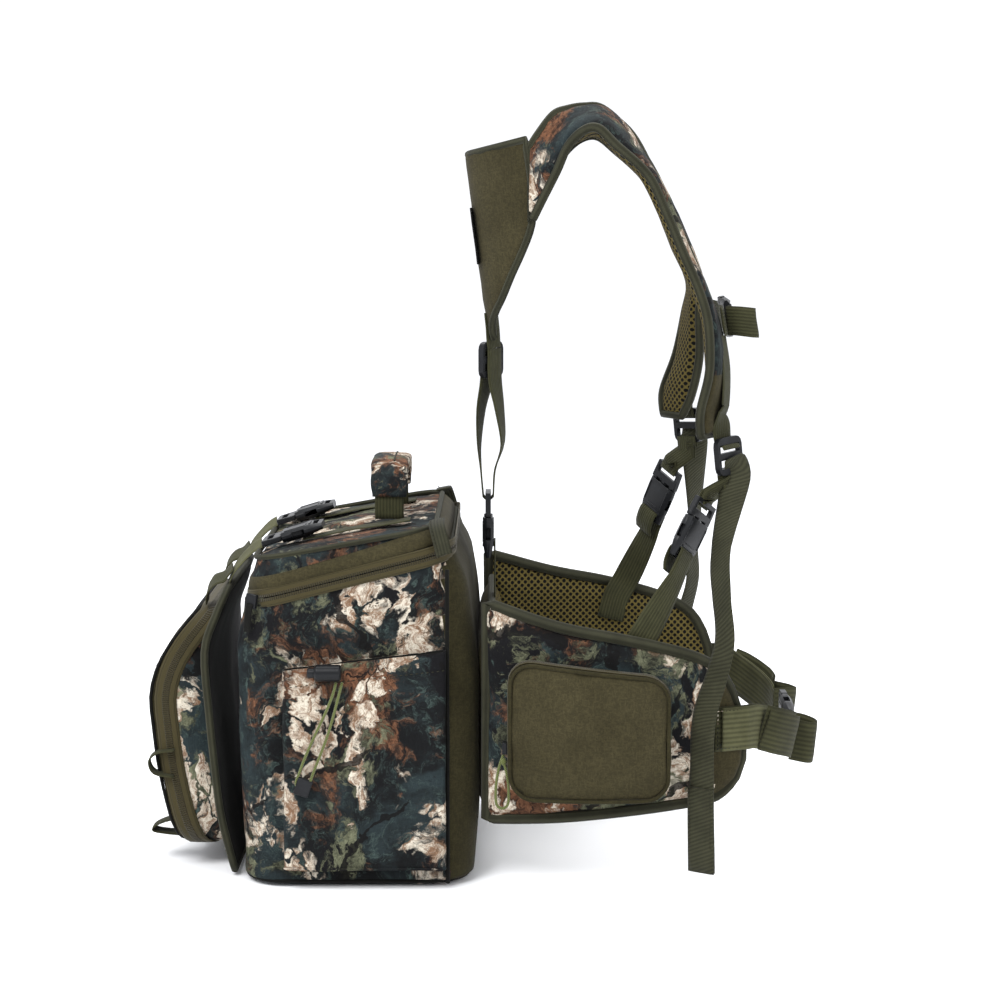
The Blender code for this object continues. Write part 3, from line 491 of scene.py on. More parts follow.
def skin(name, rings, body, looks, which=None, ends=False, closed=False, stands_for=None):
    """Skins closed rings of points; the UV runs round them (0..1) and along (metres)."""
    bm = bmesh.new()
    uv = bm.loops.layers.uv.new("UVMap")
    loops = [[bm.verts.new(p) for p in ring] for ring in rings]
    count = len(rings[0])
    along = [0.0]
    for a, b in zip(rings, rings[1:]):
        along.append(along[-1] + (Vector(a[0]) - Vector(b[0])).length)
    rows = list(range(len(rings) - 1))
    for r in rows + ([len(rings) - 1] if closed else []):
        a, b = loops[r], loops[(r + 1) % len(rings)]
        low = along[r]
        gap = (Vector(rings[-1][0]) - Vector(rings[0][0])).length
        high = along[r + 1] if r + 1 < len(rings) else low + gap
        for i in range(count):
            j = (i + 1) % count
            face = bm.faces.new((a[i], a[j], b[j], b[i]))
            left, right = i / count, (i + 1) / count
            for loop, at in zip(face.loops, ((left, low), (right, low), (right, high), (left, high))):
                loop[uv].uv = at
            if which:
                face.material_index = which(face.calc_center_median(), i, r)
    if ends:
        for r, loop in ((0, loops[0]), (len(rings) - 2, loops[-1])):
            face = bm.faces.new(loop)
            if which:
                face.material_index = which(face.calc_center_median(), 0, r)
    bmesh.ops.recalc_face_normals(bm, faces=bm.faces)
    return put(name, bm, body, looks, stands_for=stands_for)


def across_frames(path, across):
    """Each point of the path with the strap's width direction and its normal there."""
    found = []
    for i, point in enumerate(path):
        tangent = (path[min(i + 1, len(path) - 1)] - path[max(i - 1, 0)]).normalized()
        wide = Vector(across[i] if isinstance(across, list) else across)
        wide = (wide - tangent * wide.dot(tangent)).normalized()
        found.append((point, wide, tangent.cross(wide)))
    return found


def band(name, path, across, width, body, look=None, thick=WEBBING_THICK, crown=0.0,
         stands_for=None):
    """A woven strap with thin edges and flat ends; its UV runs across each face and along."""
    path = [Vector(p) for p in path]
    columns = 6
    rings = []
    for i, (point, wide, normal) in enumerate(across_frames(path, across)):
        w = (width[i] if isinstance(width, list) else width) / 2
        top, bottom = [], []
        for c in range(columns + 1):
            share = 2 * c / columns - 1
            t = thick / 2 * (1 - abs(share) ** 8 * 0.6) + crown * (1 - share * share)
            top.append(point + wide * w * share + normal * t)
            bottom.append(point + wide * w * share - normal * (t - crown * (1 - share * share)))
        rings.append(top + bottom[::-1])
    made = skin(name, rings, body, [look or WEB], ends=True, stands_for=stands_for)
    layer = made.data.uv_layers[0].data
    count = len(rings[0])
    for item in layer:
        u = item.uv[0] * count
        back = max(0.0, 2 * columns + 1 - u)
        item.uv[0] = (min(u, columns) if u <= columns + 0.5 else back) / columns
    return made


def tube(name, path, radius, body, look, cyclic=False):
    """A piping or binding: a round tube along a path."""
    path = [Vector(p) for p in path]
    sides = 8
    rings = []
    count = len(path)
    side = None
    for i, point in enumerate(path):
        if cyclic:
            tangent = (path[(i + 1) % count] - path[i - 1]).normalized()
        else:
            tangent = (path[min(i + 1, count - 1)] - path[max(i - 1, 0)]).normalized()
        if side is None:
            side = tangent.orthogonal()
        wide = (side - tangent * side.dot(tangent)).normalized()
        side = wide
        normal = tangent.cross(wide)
        rings.append([
            point + wide * radius * math.cos(2 * math.pi * k / sides)
            + normal * radius * math.sin(2 * math.pi * k / sides) for k in range(sides)
        ])
    return skin(name, rings, body, [look], closed=cyclic, ends=not cyclic)


def copy_of(node, name, body, look, bevel=0.0007):
    """A CAD piece with rounded edges: its mesh joined up, flat faces merged, edges bevelled."""
    bm = bmesh.new()
    bm.from_mesh(NODES[node].data)
    bmesh.ops.remove_doubles(bm, verts=bm.verts, dist=1e-5)
    bmesh.ops.dissolve_limit(bm, angle_limit=math.radians(2), verts=bm.verts, edges=bm.edges)
    made = put(name, bm, body, [look], sharp=40)
    edge = made.modifiers.new("edge", "BEVEL")
    edge.width = bevel
    edge.segments = 2
    edge.limit_method = "ANGLE"
    edge.angle_limit = math.radians(35)
    edge.harden_normals = False
    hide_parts(node)
    return made


def spots(place, *pairs):
    """Points in the middle plane of a buckle's frame, as (along its normal, along its length)."""
    return [place @ Vector((0, out, along)) for out, along in pairs]


def arch(x, half, crown):
    """A symmetric arch over y = 0 from the y and z of one half and the height of its middle."""
    return [(x, -y, z) for y, z in half] + [(x, 0, crown)] + [(x, y, z) for y, z in reversed(half)]


def polyline_length(route):
    return sum((a - b).length for a, b in zip(route, route[1:]))


def ribs_on(name, place, body, boxes):
    """Raised mouldings on a buckle: rounded bars given by low and high corners in its frame."""
    bm = bmesh.new()
    for low, high in boxes:
        size = [h - l for l, h in zip(low, high)]
        centre = [(l + h) / 2 for l, h in zip(low, high)]
        spot = place @ Matrix.Translation(centre) @ Matrix.Diagonal((*size, 1.0))
        bmesh.ops.create_cube(bm, size=1.0, matrix=spot)
    made = put(name, bm, body, [PLASTIC], sharp=40)
    edge = made.modifiers.new("edge", "BEVEL")
    edge.width = 0.0005
    edge.segments = 2
    return made


camera()


# Cords.
def side_cords():
    for tag, side in SIDES.items():
        route = smooth([(x, side * CORD_OUT, z) for x, z in CORD_ROUTE], 4)
        made = tube(f"shock_cord_cover_{tag}", route, CORD_DIAMETER / 2, "pack", CORD)
        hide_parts(f"shock_cord_{tag}")
        length = polyline_length(route)
        end = copy_of(f"cord_end_{tag}", f"cord_clamp_{tag}", "pack", PLASTIC, 0.0016)
        centre = sum((v.co for v in end.data.vertices), Vector()) / len(end.data.vertices)
        for v in end.data.vertices:
            v.co = centre + (v.co - centre) * 0.8
        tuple(route[0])


side_cords()


# Soft shaping.
def crumple(made, amount, scale, seed=0.0, stretch=(1, 1, 1), inward=0.0, where=None):
    """Moves points along their normals by soft noise, so cloth looks handled."""
    mesh = made.data
    normals = [v.normal.copy() for v in mesh.vertices]
    for v, normal in zip(mesh.vertices, normals):
        at = Vector(c * s * scale for c, s in zip(v.co, stretch)) + Vector((seed, seed * 1.7, seed * 0.3))
        lift = noise.noise(at) + 0.45 * noise.noise(at * 2.3) - inward
        share = where(v.co) if where else 1.0
        v.co += normal * amount * lift * share
    mesh.update()
    return made


def plump(made, voxel=0.005, cap=0.006, pressure=4.0, which=None):
    """Fills a closed form like a cushion: remeshed, then blown up a little as cloth."""
    looks = list(made.data.materials)
    remesh = made.modifiers.new("remesh", "REMESH")
    remesh.mode = "VOXEL"
    remesh.voxel_size = voxel
    scene = bpy.context.scene
    bpy.context.view_layer.update()
    graph = bpy.context.evaluated_depsgraph_get()
    mesh = bpy.data.meshes.new_from_object(made.evaluated_get(graph))
    made.modifiers.clear()
    made.data = mesh
    start = [v.co.copy() for v in mesh.vertices]
    cloth = made.modifiers.new("cloth", "CLOTH")
    cloth.settings.quality = 5
    cloth.settings.mass = 0.3
    cloth.settings.tension_stiffness = 12
    cloth.settings.compression_stiffness = 12
    cloth.settings.bending_stiffness = 0.6
    cloth.settings.use_pressure = True
    cloth.settings.uniform_pressure_force = pressure
    cloth.settings.effector_weights.gravity = 0
    cloth.point_cache.frame_start = 1
    cloth.point_cache.frame_end = 20
    for step in range(1, 21):
        scene.frame_set(step)
    graph = bpy.context.evaluated_depsgraph_get()
    blown = bpy.data.meshes.new_from_object(made.evaluated_get(graph))
    made.modifiers.clear()
    for v, w, was in zip(mesh.vertices, blown.vertices, start):
        moved = w.co - was
        v.co = was + moved * min(1.0, cap / max(moved.length, 1e-9))
    scene.frame_set(1)
    mesh.materials.clear()
    for look in looks:
        mesh.materials.append(look)
    if which:
        for face in mesh.polygons:
            face.material_index = which(face.center, 0, 0)
    mesh.shade_smooth()
    fine = made.modifiers.new("fine", "SUBSURF")
    fine.levels = fine.render_levels = 1
    return made


# Bag.
BAG_LEVELS = (
    (0.0, -0.084, 0.084, 0.138), (0.014, -0.092, 0.096, 0.146), (0.05, -0.0965, 0.102, 0.149),
    (0.3, -0.099, 0.106, 0.15), (0.6, -0.099, 0.1065, 0.15), (0.85, -0.095, 0.1005, 0.149),
    (0.93, -0.092, 0.0945, 0.148), (1.0, -0.089, 0.0845, 0.146),
)
BAG_CORNER = 0.032
GUSSET_X = 0.079
LID_OLIVE_X = 0.068
ZIP_HALF = 0.0076


def rim(x):
    """Height of the bag's opening, where the zip runs."""
    return 0.2645 + 0.253 * x


def lid_edge(x):
    """Height of the lid's top edge, which rises towards the wearer as rim() does."""
    return 0.292 + 0.179 * x


def bag_level(share):
    """Front x, back x and half width of the bag at this share of its height."""
    return tuple(curve_value([(v[0], v[k]) for v in BAG_LEVELS], share) for k in (1, 2, 3))


def bag_ring(level, inset, height, steps=8, along=14):
    front, back, half = level
    outline = rounded_rectangle((front + inset, inset - half), (back - inset, half - inset),
                                BAG_CORNER - inset, steps, along)
    return [Vector((x, y, height(x))) for x, y in outline]


def bag():
    shares = [0, 0.006, 0.014, 0.03, 0.05] + [0.05 + 0.95 * i / 26 for i in range(1, 27)]
    outer = [bag_ring(bag_level(s), 0.0, lambda x, s=s: s * rim(x)) for s in shares]
    made = skin("bag_shell", outer, "pack", [CAMO, OLIVE_PANEL],
                lambda c, i, r: int(c.x > GUSSET_X))
    cap_ends(made, lambda z: z < 0.001)
    for v in made.data.vertices:
        front = ramp(-v.co.x, 0.06, 0.09)
        rise = ramp(v.co.z, 0.15, 0.258)
        v.co.x -= 0.0052 * front * math.sin(math.pi * rise ** 1.7) ** 0.8

    def free(p):
        """How far the cloth may crease: not at the floor and not at the zip."""
        return min(1, p.z / 0.03) * (p.z < 0.98 * rim(p.x))

    crumple(made, 0.0046, 8, 3.0, (1, 1, 0.6), 0.35, free)
    crumple(made, 0.0018, 28, 5.0, (1, 1, 0.5), 0.3, free)
    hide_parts("main_shell")
    inner = [bag_ring(bag_level(s), 0.006, lambda x, s=s: s * rim(x)) for s in (1.0, 0.85, 0.6, 0.3)]
    inner.append(bag_ring(bag_level(0.05), 0.007, lambda x: 0.016))
    inner.append(bag_ring(bag_level(0.05), 0.02, lambda x: 0.0145))
    lining = skin("bag_lining", inner, "pack", [LINING_WITH_PAINTED_SHADE])
    cap_ends(lining, lambda z: z < 0.03)
    edge = bag_ring(bag_level(1.0), 0.003, lambda x: rim(x) - 0.0022)
    tube("rim_tape", edge, 0.0031, "pack", BINDING, cyclic=True)
    for tag, side in SIDES.items():
        stations = [0.012 + 0.94 * i / 24 for i in range(25)]
        line = [Vector((GUSSET_X, side * (bag_level(s)[2] + 0.0002), s * rim(GUSSET_X))) for s in stations]
        tube(f"gusset_piping_{tag}", line, 0.0017, "pack", LINING_WITH_PAINTED_SHADE)
    foot = bag_ring(bag_level(0.012), -0.0006, lambda x: 0.0052)
    tube("base_piping", foot, 0.0018, "pack", LINING_WITH_PAINTED_SHADE, cyclic=True)
    copy_of("frame_sheet", "back_stiffener", "pack", SHEET_PLASTIC, 0.0006)


def closed_band(name, outline, dz, width, body, look, u):
    """A tape standing on a closed outline, its UV across running from u[0] to u[1]."""
    path = [p + Vector((0, 0, dz)) for p in outline]
    made = band(name, path + path[:1], (0, 0, 1), width, body, look, 0.0012)
    for item in made.data.uv_layers[0].data:
        item.uv[0] = u[0] + (u[1] - u[0]) * item.uv[0]
    return made


def main_zip():
    level = bag_level(1.0)
    outline = bag_ring(level, -0.0009, rim)
    closed_band("zip_tape_bag", outline, -ZIP_HALF / 2 - 0.0002, ZIP_HALF, "pack", ZIP, (0.0, 0.5))
    upper = [Vector((p.x, p.y, p.z + 0.0006)) for p in outline]
    closed_band("zip_tape_lid", upper, ZIP_HALF / 2 + 0.0002, ZIP_HALF, "lid", ZIP, (0.5, 1.0))
    for tag, side in SIDES.items():
        x = -0.083
        place = frame_of((x, side * (level[2] - 0.006), rim(x)), (-0.15, 0, -1), (-0.5, side, 0))
        ribs_on(f"zip_slider_{tag}", place, "pack", [((-0.005, 0.0005, -0.006), (0.005, 0.0045, 0.006))])
        pull = [place @ Vector((0, 0.0048, 0.002)), place @ Vector((0.0005, 0.0058, 0.012)),
                place @ Vector((0.001, 0.005, 0.026))]
        band(f"zip_pull_{tag}", smooth(pull, 4), place.to_3x3() @ Vector((1, 0, 0)), 0.0065, "pack", LINING_WITH_PAINTED_SHADE,
             0.0016)


def lid():
    top = (-0.083, 0.069, 0.14)
    centre = (top[0] + top[1]) / 2
    skirt = bag_level(1.0)

    def crown(share, drop=0.0, inset=0.0):
        found = []
        for p in bag_ring(top, inset, lambda x: 0.0):
            x = centre + (p.x - centre) * share
            found.append(Vector((x, p.y * share, lid_edge(x) + 0.004 * (1 - share * share) - drop)))
        return found

    base = bag_ring(skirt, 0, lambda x: rim(x) + 0.0008)
    edge = crown(1.0)
    rings = [base]
    for share in (0.25, 0.5, 0.75, 0.92):
        puff = 0.0016 * math.sin(math.pi * share)
        rings.append([a.lerp(b, share) + Vector((a.x - centre, a.y, 0)).normalized() * puff
                      for a, b in zip(base, edge)])
    hood = []
    for height, out in ((0.0066, 0.0003), (0.0072, 0.002), (0.012, 0.0025), (0.0172, 0.002),
                        (0.018, 0.0001)):
        ring = []
        for a, b in zip(base, edge):
            share = height / (b.z - a.z)
            away = Vector((a.x - centre, a.y, 0)).normalized()
            ring.append(a.lerp(b, share) + away * (out + 0.0016 * math.sin(math.pi * share)))
        hood.append(ring)
    skin("zip_hood", hood, "lid", [OLIVE])
    rings += [edge] + [crown(s) for s in (0.975, 0.93, 0.86, 0.77, 0.67, 0.57, 0.47, 0.37, 0.27, 0.17, 0.08)]
    made = skin("lid_cover", rings, "lid", [CAMO, OLIVE_PANEL], lambda c, i, r: int(c.x > LID_OLIVE_X))
    cap_ends(made, lambda z: z > 0.27)

    def above_hood(p):
        return p.z > rim(p.x) + 0.02

    crumple(made, 0.0042, 12, 8.0, (0.7, 1.6, 1), 0.3, above_hood)
    crumple(made, 0.0016, 34, 2.0, (0.6, 1.5, 1), 0.3, above_hood)
    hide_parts("lid_shell")
    under = [crown(s, 0.0045, 0.004) for s in (0.1, 0.4, 0.7, 0.97)]
    under.append(bag_ring(skirt, 0.005, lambda x: rim(x) + 0.001))
    lining = skin("lid_lining", under, "lid", [LINING_WITH_PAINTED_SHADE])
    cap_ends(lining, lambda z: z > 0.28)
    tube("lid_piping", edge, 0.0024, "lid", BINDING, cyclic=True)
    tube("lid_rim_tape", bag_ring(skirt, 0.003, lambda x: rim(x) + 0.0034), 0.0026, "lid", BINDING,
         cyclic=True)


def corner_patches():
    """The webbing patch at each back corner of the lid, bar-tacked over the end of the zip."""
    for tag, side in SIDES.items():
        path = smooth(mm(side, (70, 110, 307.8), (70, 130, 307.2), (71.5, 142.5, 303),
                         (74.5, 148.5, 293), (77, 149.8, 283.5)), 5)
        band(f"corner_patch_{tag}", path, (1, 0, 0.2), 0.0135, "lid", BINDING, 0.0018)
        for dx in (-0.0052, 0.0052):
            line = [p + Vector((dx, side * 0.0012, 0.0006)) for p in path[3:]]
            stitches(f"corner_tack_{tag}_{'a' if dx < 0 else 'b'}", line, "lid", 0.0024, 0.0012)


def cap_ends(made, wanted):
    """Closes the open rings of a skin whose height the rule wants."""
    bm = bmesh.new()
    bm.from_mesh(made.data)
    rim_edges = [e for e in bm.edges if e.is_boundary]
    while rim_edges:
        loop, todo = set(), [rim_edges[0]]
        while todo:
            e = todo.pop()
            if e in loop:
                continue
            loop.add(e)
            todo += [f for v in e.verts for f in v.link_edges if f.is_boundary and f not in loop]
        rim_edges = [e for e in rim_edges if e not in loop]
        if wanted(sum(e.verts[0].co.z for e in loop) / len(loop)):
            bmesh.ops.contextual_create(bm, geom=list(loop))
    bmesh.ops.recalc_face_normals(bm, faces=bm.faces)
    bm.to_mesh(made.data)
    bm.free()
    made.data.shade_smooth()


# Webbing and buckles.
def buckle_face(name, place, body, half=SOCKET_HALF_WIDTH, thick=SOCKET_HALF_DEPTH, size=1.0):
    """The raised rails and grip bars that a moulded socket has on both faces."""
    boxes = []
    for s in (-1, 1):
        y0, y1 = sorted((s * (thick - 0.0004), s * (thick + 0.0006)))
        boxes.append(((-half * 0.62, y0, -0.0262 * size), (half * 0.62, y1, -0.0244 * size)))
        boxes.append(((-half * 0.45, y0, -0.0228 * size), (half * 0.45, y1, -0.0216 * size)))
        for t in (-1, 1):
            x0, x1 = sorted((t * half * 0.72, t * half * 0.8))
            boxes.append(((x0, y0, -0.022 * size), (x1, y1, -0.003 * size)))
    return ribs_on(name, place, body, boxes)


def body_of(node):
    """Name of the body that a CAD node rides on."""
    empty = NODES[node].parent
    return next(name for name, made in frame["bodies"].items() if made == empty)


def hard_pieces():
    for node in sorted(NODES):
        hard = ("female", "male", "ladder_lock", "cord_lock", "lock_button")
        if any(word in node for word in hard):
            copy_of(node, node + "_moulding", body_of(node), PLASTIC)


def compression(tag, side):
    y = side * COMPRESSION_Y
    along = (-math.cos(COMPRESSION_DROP), 0, -math.sin(COMPRESSION_DROP))
    place = frame_of((COMPRESSION_MOUTH[0], y, COMPRESSION_MOUTH[1]), along, (-0.29, 0, 0.957))
    buckle_face(f"compression_rails_{tag}", place, f"catch_{tag}")
    x_points = (0.046, 0.02, -0.005, -0.03, -0.046)
    path = smooth([(x, y, lid_edge(x) + 0.003 + (0.001 if abs(x) < 0.01 else 0)) for x in x_points])
    band(f"compression_web_{tag}", path, (0, 1, 0), WEBBING, "lid", stands_for=f"compression_upper_{tag}")
    end = place @ Vector((0, 0, 0.0195))
    path = smooth([end, end + Vector((-0.009, 0, -0.006)), (-0.1045, y, 0.262), (-0.1105, y, 0.2495)])
    band(f"compression_tail_{tag}", path, (0, 1, 0.3), WEBBING, "lid", TAB_WEB,
         stands_for=f"compression_lower_{tag}")
    falls = ((0, 0, 0), (-0.007, 0, -0.008), (-0.015, 0.002, -0.012), (-0.021, 0.003, -0.02),
             (-0.022, 0.002, -0.03))
    loose = smooth([(-0.1075 + dx, y + side * dy, 0.262 + dz) for dx, dy, dz in falls])
    band(f"compression_loose_{tag}", loose, (0, 1, 0.3), WEBBING, "lid", WEB)


def handle():
    x = 0.027
    half = ((0.052, 0.301), (0.052, 0.32), (0.05, 0.332), (0.043, 0.341), (0.032, 0.3455), (0.016, 0.347))
    made = band("handle_web", smooth(arch(x, half, 0.3475)), (1, 0, 0), WEBBING, None, WEB, thick=0.0026)
    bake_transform(made)
    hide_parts("handle_webbing")
    half = ((0.0515, 0.32), (0.0495, 0.3325), (0.0425, 0.3412), (0.0315, 0.3457), (0.016, 0.347))
    path = smooth(arch(x, half, 0.3475), 5)
    rings = []
    for i, (p, wide, normal) in enumerate(across_frames(path, (1, 0, 0))):
        swell = 1 - 0.1 * abs(2 * i / (len(path) - 1) - 1) ** 4
        rings.append([p + wide * 0.0165 * swell * math.copysign(abs(math.cos(a)) ** 0.6, math.cos(a))
                      + normal * 0.005 * swell * math.copysign(abs(math.sin(a)) ** 0.7, math.sin(a))
                      for a in (2 * math.pi * k / 20 for k in range(20))])
    grip = skin("handle_wrap", rings, "handle", [CAMO], ends=True)
    crumple(grip, 0.0008, 70, 1.0)
    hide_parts("handle_grip")
    seam = [p + Vector((0.004, 0, 0.005)) for p in path if p.z > 0.344]
    tube("handle_seam", seam, 0.0008, "handle", BINDING)


# Beavertail and pouch.
TAIL_PROFILE = (
    (0.006, -0.1045), (0.03, -0.1085), (0.061, -0.1145), (0.1, -0.1185), (0.146, -0.1225),
    (0.197, -0.126), (0.225, -0.118), (0.246, -0.1095),
)
TAIL_HALF_WIDTHS = (0.112, 0.124, 0.128, 0.13, 0.13, 0.126, 0.116, 0.096)
POUCH_PROFILE = (
    (0.012, -0.127), (0.03, -0.15), (0.08, -0.164), (0.125, -0.17), (0.158, -0.1715),
    (0.19, -0.16), (0.226, -0.133),
)
POUCH_LOW, POUCH_HIGH, POUCH_HALF = 0.022, 0.226, 0.096


def beavertail():
    path = smooth([(x, 0, z) for z, x in TAIL_PROFILE])
    halves = [p.x for p in smooth([(w, 0, 0) for w in TAIL_HALF_WIDTHS])]
    columns = 22
    rings = []
    for p, half in zip(path, halves):
        ring = []
        for s in (-1, 1):
            for c in range(columns + 1):
                share = (2 * c / columns - 1) * -s
                upper = ramp(p.z, 0.15, 0.2) * (1 - ramp(p.z, 0.234, 0.246))
                out = 0.0016 + 0.0006 * (1 - share * share)
                if s > 0:
                    out += 0.0045 * upper * (1 - share ** 6)
                ring.append(p + Vector((s * out + 0.004 * share ** 4 * 0.3, half * share, 0)))
        rings.append(ring)
    # The panel's back face takes the near-black lining: painted shade for the dark gap between the panel and
    # the pouch.
    made = skin("beavertail_panel", rings, "beavertail", [CAMO, LINING_WITH_PAINTED_SHADE],
                lambda c, i, r: int(columns < i), ends=True)
    crumple(made, 0.0012, 22, 4.0)
    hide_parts("tail_panel")
    edge = [Vector((p.x, -h, p.z)) for p, h in zip(path, halves)]
    edge += [Vector((p.x, h, p.z)) for p, h in zip(path[::-1], halves[::-1])]
    tube("beavertail_binding", edge, 0.0034, "beavertail", BINDING, cyclic=True)


def pouch_back(z):
    return between(TAIL_PROFILE, z) - 0.0046


def pouch_front(z):
    return curve_value(POUCH_PROFILE, z)


def pouch_ring(inset, depth, share=1.0, grow=0.0):
    outline = rounded_rectangle((inset - POUCH_HALF, POUCH_LOW + inset),
                                (POUCH_HALF - inset, POUCH_HIGH - inset),
                                0.028 - min(inset, 0.02), 6, 12)
    middle = (POUCH_LOW + POUCH_HIGH) / 2
    scaled = [(y * share, middle + (z - middle) * share) for y, z in outline]
    found = []
    for y, z in scaled:
        away = Vector((0, y, z - middle)).normalized() * grow
        found.append(Vector((depth(z), y, z)) + away)
    return found


def front_pouch():
    rings = [pouch_ring(0, pouch_back, s) for s in (0.5, 0.8)]
    for share in (0.0, 0.1, 0.25, 0.4, 0.55, 0.7, 0.85, 0.95):
        grow = 0.0035 * math.sin(math.pi * share) - 0.001
        rings.append(pouch_ring(0, lambda z, s=share: pouch_back(z) + s * (pouch_front(z) - pouch_back(z)),
                                1.0, grow))
    rings.append(pouch_ring(0.0008, pouch_front))
    rings.append(pouch_ring(0.003, pouch_front))
    rings.append(pouch_ring(0.003, lambda z: pouch_back(z) - 0.004))
    rings += [pouch_ring(0.003, lambda z: pouch_back(z) - 0.003, s) for s in (0.8, 0.5)]
    made = skin("pouch_shell", rings, "beavertail", [CAMO, LINING_WITH_PAINTED_SHADE],
                lambda c, i, r: int(r >= len(rings) - 4), ends=True)
    crumple(made, 0.0016, 26, 6.0)
    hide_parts("front_pouch")

    def cover(z):
        return pouch_front(z) - 0.0012 - 0.002 * (1 - ramp(z, 0.023, 0.036))

    rings = [pouch_ring(0.0035, lambda z: cover(z) + 0.0005, s) for s in (0.2, 0.7)]
    rings += [pouch_ring(0.0015, cover), pouch_ring(0.0006, lambda z: cover(z) - 0.0014),
              pouch_ring(0.0014, lambda z: cover(z) - 0.003)]
    rings += [pouch_ring(0.002, lambda z, s=s: cover(z) - 0.003 - 0.0045 * (1 - s ** 3), s)
              for s in (0.97, 0.92, 0.84, 0.74, 0.64, 0.54, 0.43, 0.32, 0.2, 0.09)]
    made = skin("pouch_cover", rings, "pouch_cover", [OLIVE], ends=True)
    crumple(made, 0.002, 24, 9.0, (1, 1, 1), 0.2)
    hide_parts("pouch_flap")
    edge = pouch_ring(0.001, lambda z: cover(z) - 0.0034)
    tube("pouch_piping", edge, 0.0015, "pouch_cover", LINING_WITH_PAINTED_SHADE, cyclic=True)
    line = pouch_ring(-0.003, lambda z: cover(z) + 0.0098)
    band("pouch_zip", line + line[:1], (1, 0, 0), 0.019, "beavertail", ZIP, 0.001)
    for tag, side in SIDES.items():
        y = side * 0.06
        base = smooth([(-0.143, y, 0.0285), (-0.16, y, 0.0375), (-0.177, y, 0.033), (-0.18, y, 0.0275),
                       (-0.16, y, 0.0245), (-0.141, y, 0.0235)])
        band(f"base_loop_{tag}", base, (0, 1, 0), 0.02, "beavertail", WEB)
        y = side * 0.099
        tab = smooth([(-0.156, y, 0.108), (-0.17, y, 0.106), (-0.178, y, 0.0985), (-0.1735, y, 0.088),
                      (-0.157, y, 0.085)])
        band(f"pouch_loop_{tag}", tab, (0, 1, 0.1), 0.014, "beavertail", WEB)
    corners = rounded_rectangle((-0.032, 0.143), (0.032, 0.168), 0.004, 4, 3)
    front = cover(0.155) - 0.0066
    rings = [[Vector((front + dx, y * k, 0.1555 + (z - 0.1555) * k)) for y, z in corners]
             for dx, k in ((0.0015, 1.0), (-0.001, 1.0), (-0.0016, 0.97), (-0.0014, 0.9), (-0.0014, 0.4))]
    skin("pouch_patch", rings, "pouch_cover", [PLASTIC], ends=True)


# Side pockets.
POCKET_FRONT, POCKET_BACK, POCKET_INNER, POCKET_OUTER = -0.058, 0.078, 0.1506, 0.1615
POCKET_LOW = 0.018


def pocket_top(x):
    return 0.195 + 0.12 * x


def side_pocket(tag, side):
    width = POCKET_BACK - POCKET_FRONT

    def ring(inset, share):
        outline = rounded_rectangle((POCKET_FRONT + inset, POCKET_INNER + inset),
                                    (POCKET_BACK - inset, POCKET_OUTER - inset), 0.0042 - inset, 3, 26)
        found = []
        for x, y in outline:
            z = POCKET_LOW + inset + share * (pocket_top(x) - POCKET_LOW - inset)
            outer = (y - POCKET_INNER) / (POCKET_OUTER - POCKET_INNER)
            u = (x - POCKET_FRONT) / width
            swell = 0.0022 * math.sin(math.pi * min(max(u, 0), 1)) * math.sin(math.pi * min(share, 0.97))
            gather = math.exp(-((u - 0.3) / 0.17) ** 2) * math.exp(-((share - 0.97) / 0.22) ** 2)
            folds = 0.0014 * gather * math.sin(x * 2 * math.pi / 0.0085 + 5 * share)
            found.append(Vector((x, side * (y + outer * (swell + folds - 0.0012 * gather)), z)))
        return found

    shares = [0, 0.02, 0.06] + [0.06 + 0.9 * i / 22 for i in range(1, 23)] + [0.985, 1.0]
    rings = [ring(0, s) for s in shares] + [ring(0.0018, s) for s in (1.0, 0.98, 0.7, 0.4, 0.0)]
    made = skin(f"side_pocket_cloth_{tag}", rings, "pack", [CAMO, LINING_WITH_PAINTED_SHADE],
                lambda c, i, r: int(r > len(shares) - 1), ends=True)
    crumple(made, 0.001, 40, 7.0 + side, (1, 1, 0.5), 0.2)
    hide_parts(f"side_pocket_{tag}")
    hem = [p + Vector((0, side * 0.0003, 0)) for p in ring(0, 0.915)]
    stitch = [p for p in hem if side * p.y > POCKET_OUTER - 0.001]
    stitches(f"pocket_hem_{tag}", stitch, "pack")
    seam = [p for p in ring(-0.0002, 0.012) if side * p.y > POCKET_OUTER - 0.0035]
    tube(f"pocket_seam_{tag}", seam, 0.001, "pack", CAMO)


def stitches(name, line, body, length=0.0028, gap=0.0016, radius=0.00042, look=None):
    """A row of short thread stitches along a line."""
    line = [Vector(p) for p in line]
    bm = bmesh.new()
    done, at = 0.0, 0.0
    for a, b in zip(line, line[1:]):
        span = (b - a).length
        while at < done + span:
            share = (at - done) / max(span, 1e-9)
            middle = a.lerp(b, share)
            place = frame_of(middle, (b - a), (0.3, 0.9, 0.2))
            shape = Matrix.Diagonal((radius, radius, length / 2, 1.0))
            bmesh.ops.create_icosphere(bm, subdivisions=1, radius=1.0, matrix=place @ shape)
            at += length + gap
        done += span
    return put(name, bm, body, [look or BINDING])


# Lumbar pad and hip belt wings.
WING_TOP = (
    (0.112, 0.242), (0.17, 0.2245), (0.219, 0.215), (0.25, 0.208), (0.281, 0.199),
    (0.303, 0.187), (0.315, 0.17), (0.323, 0.146), (0.3265, 0.124),
)
WING_BOTTOM = (
    (0.112, 0.059), (0.17, 0.063), (0.22, 0.068), (0.281, 0.074), (0.303, 0.077),
    (0.315, 0.085), (0.323, 0.096), (0.3265, 0.108),
)
WING_POCKET_LOW, WING_POCKET_HIGH = (0.131, 0.084), (0.262, 0.199)
WING_POCKET_DEPTH = 0.02
WING_TIP_X = 0.302


def wing_outer(x):
    """How far out the outer face of a wing lies."""
    return 0.1655 - 1.8 * (x - 0.205) ** 2


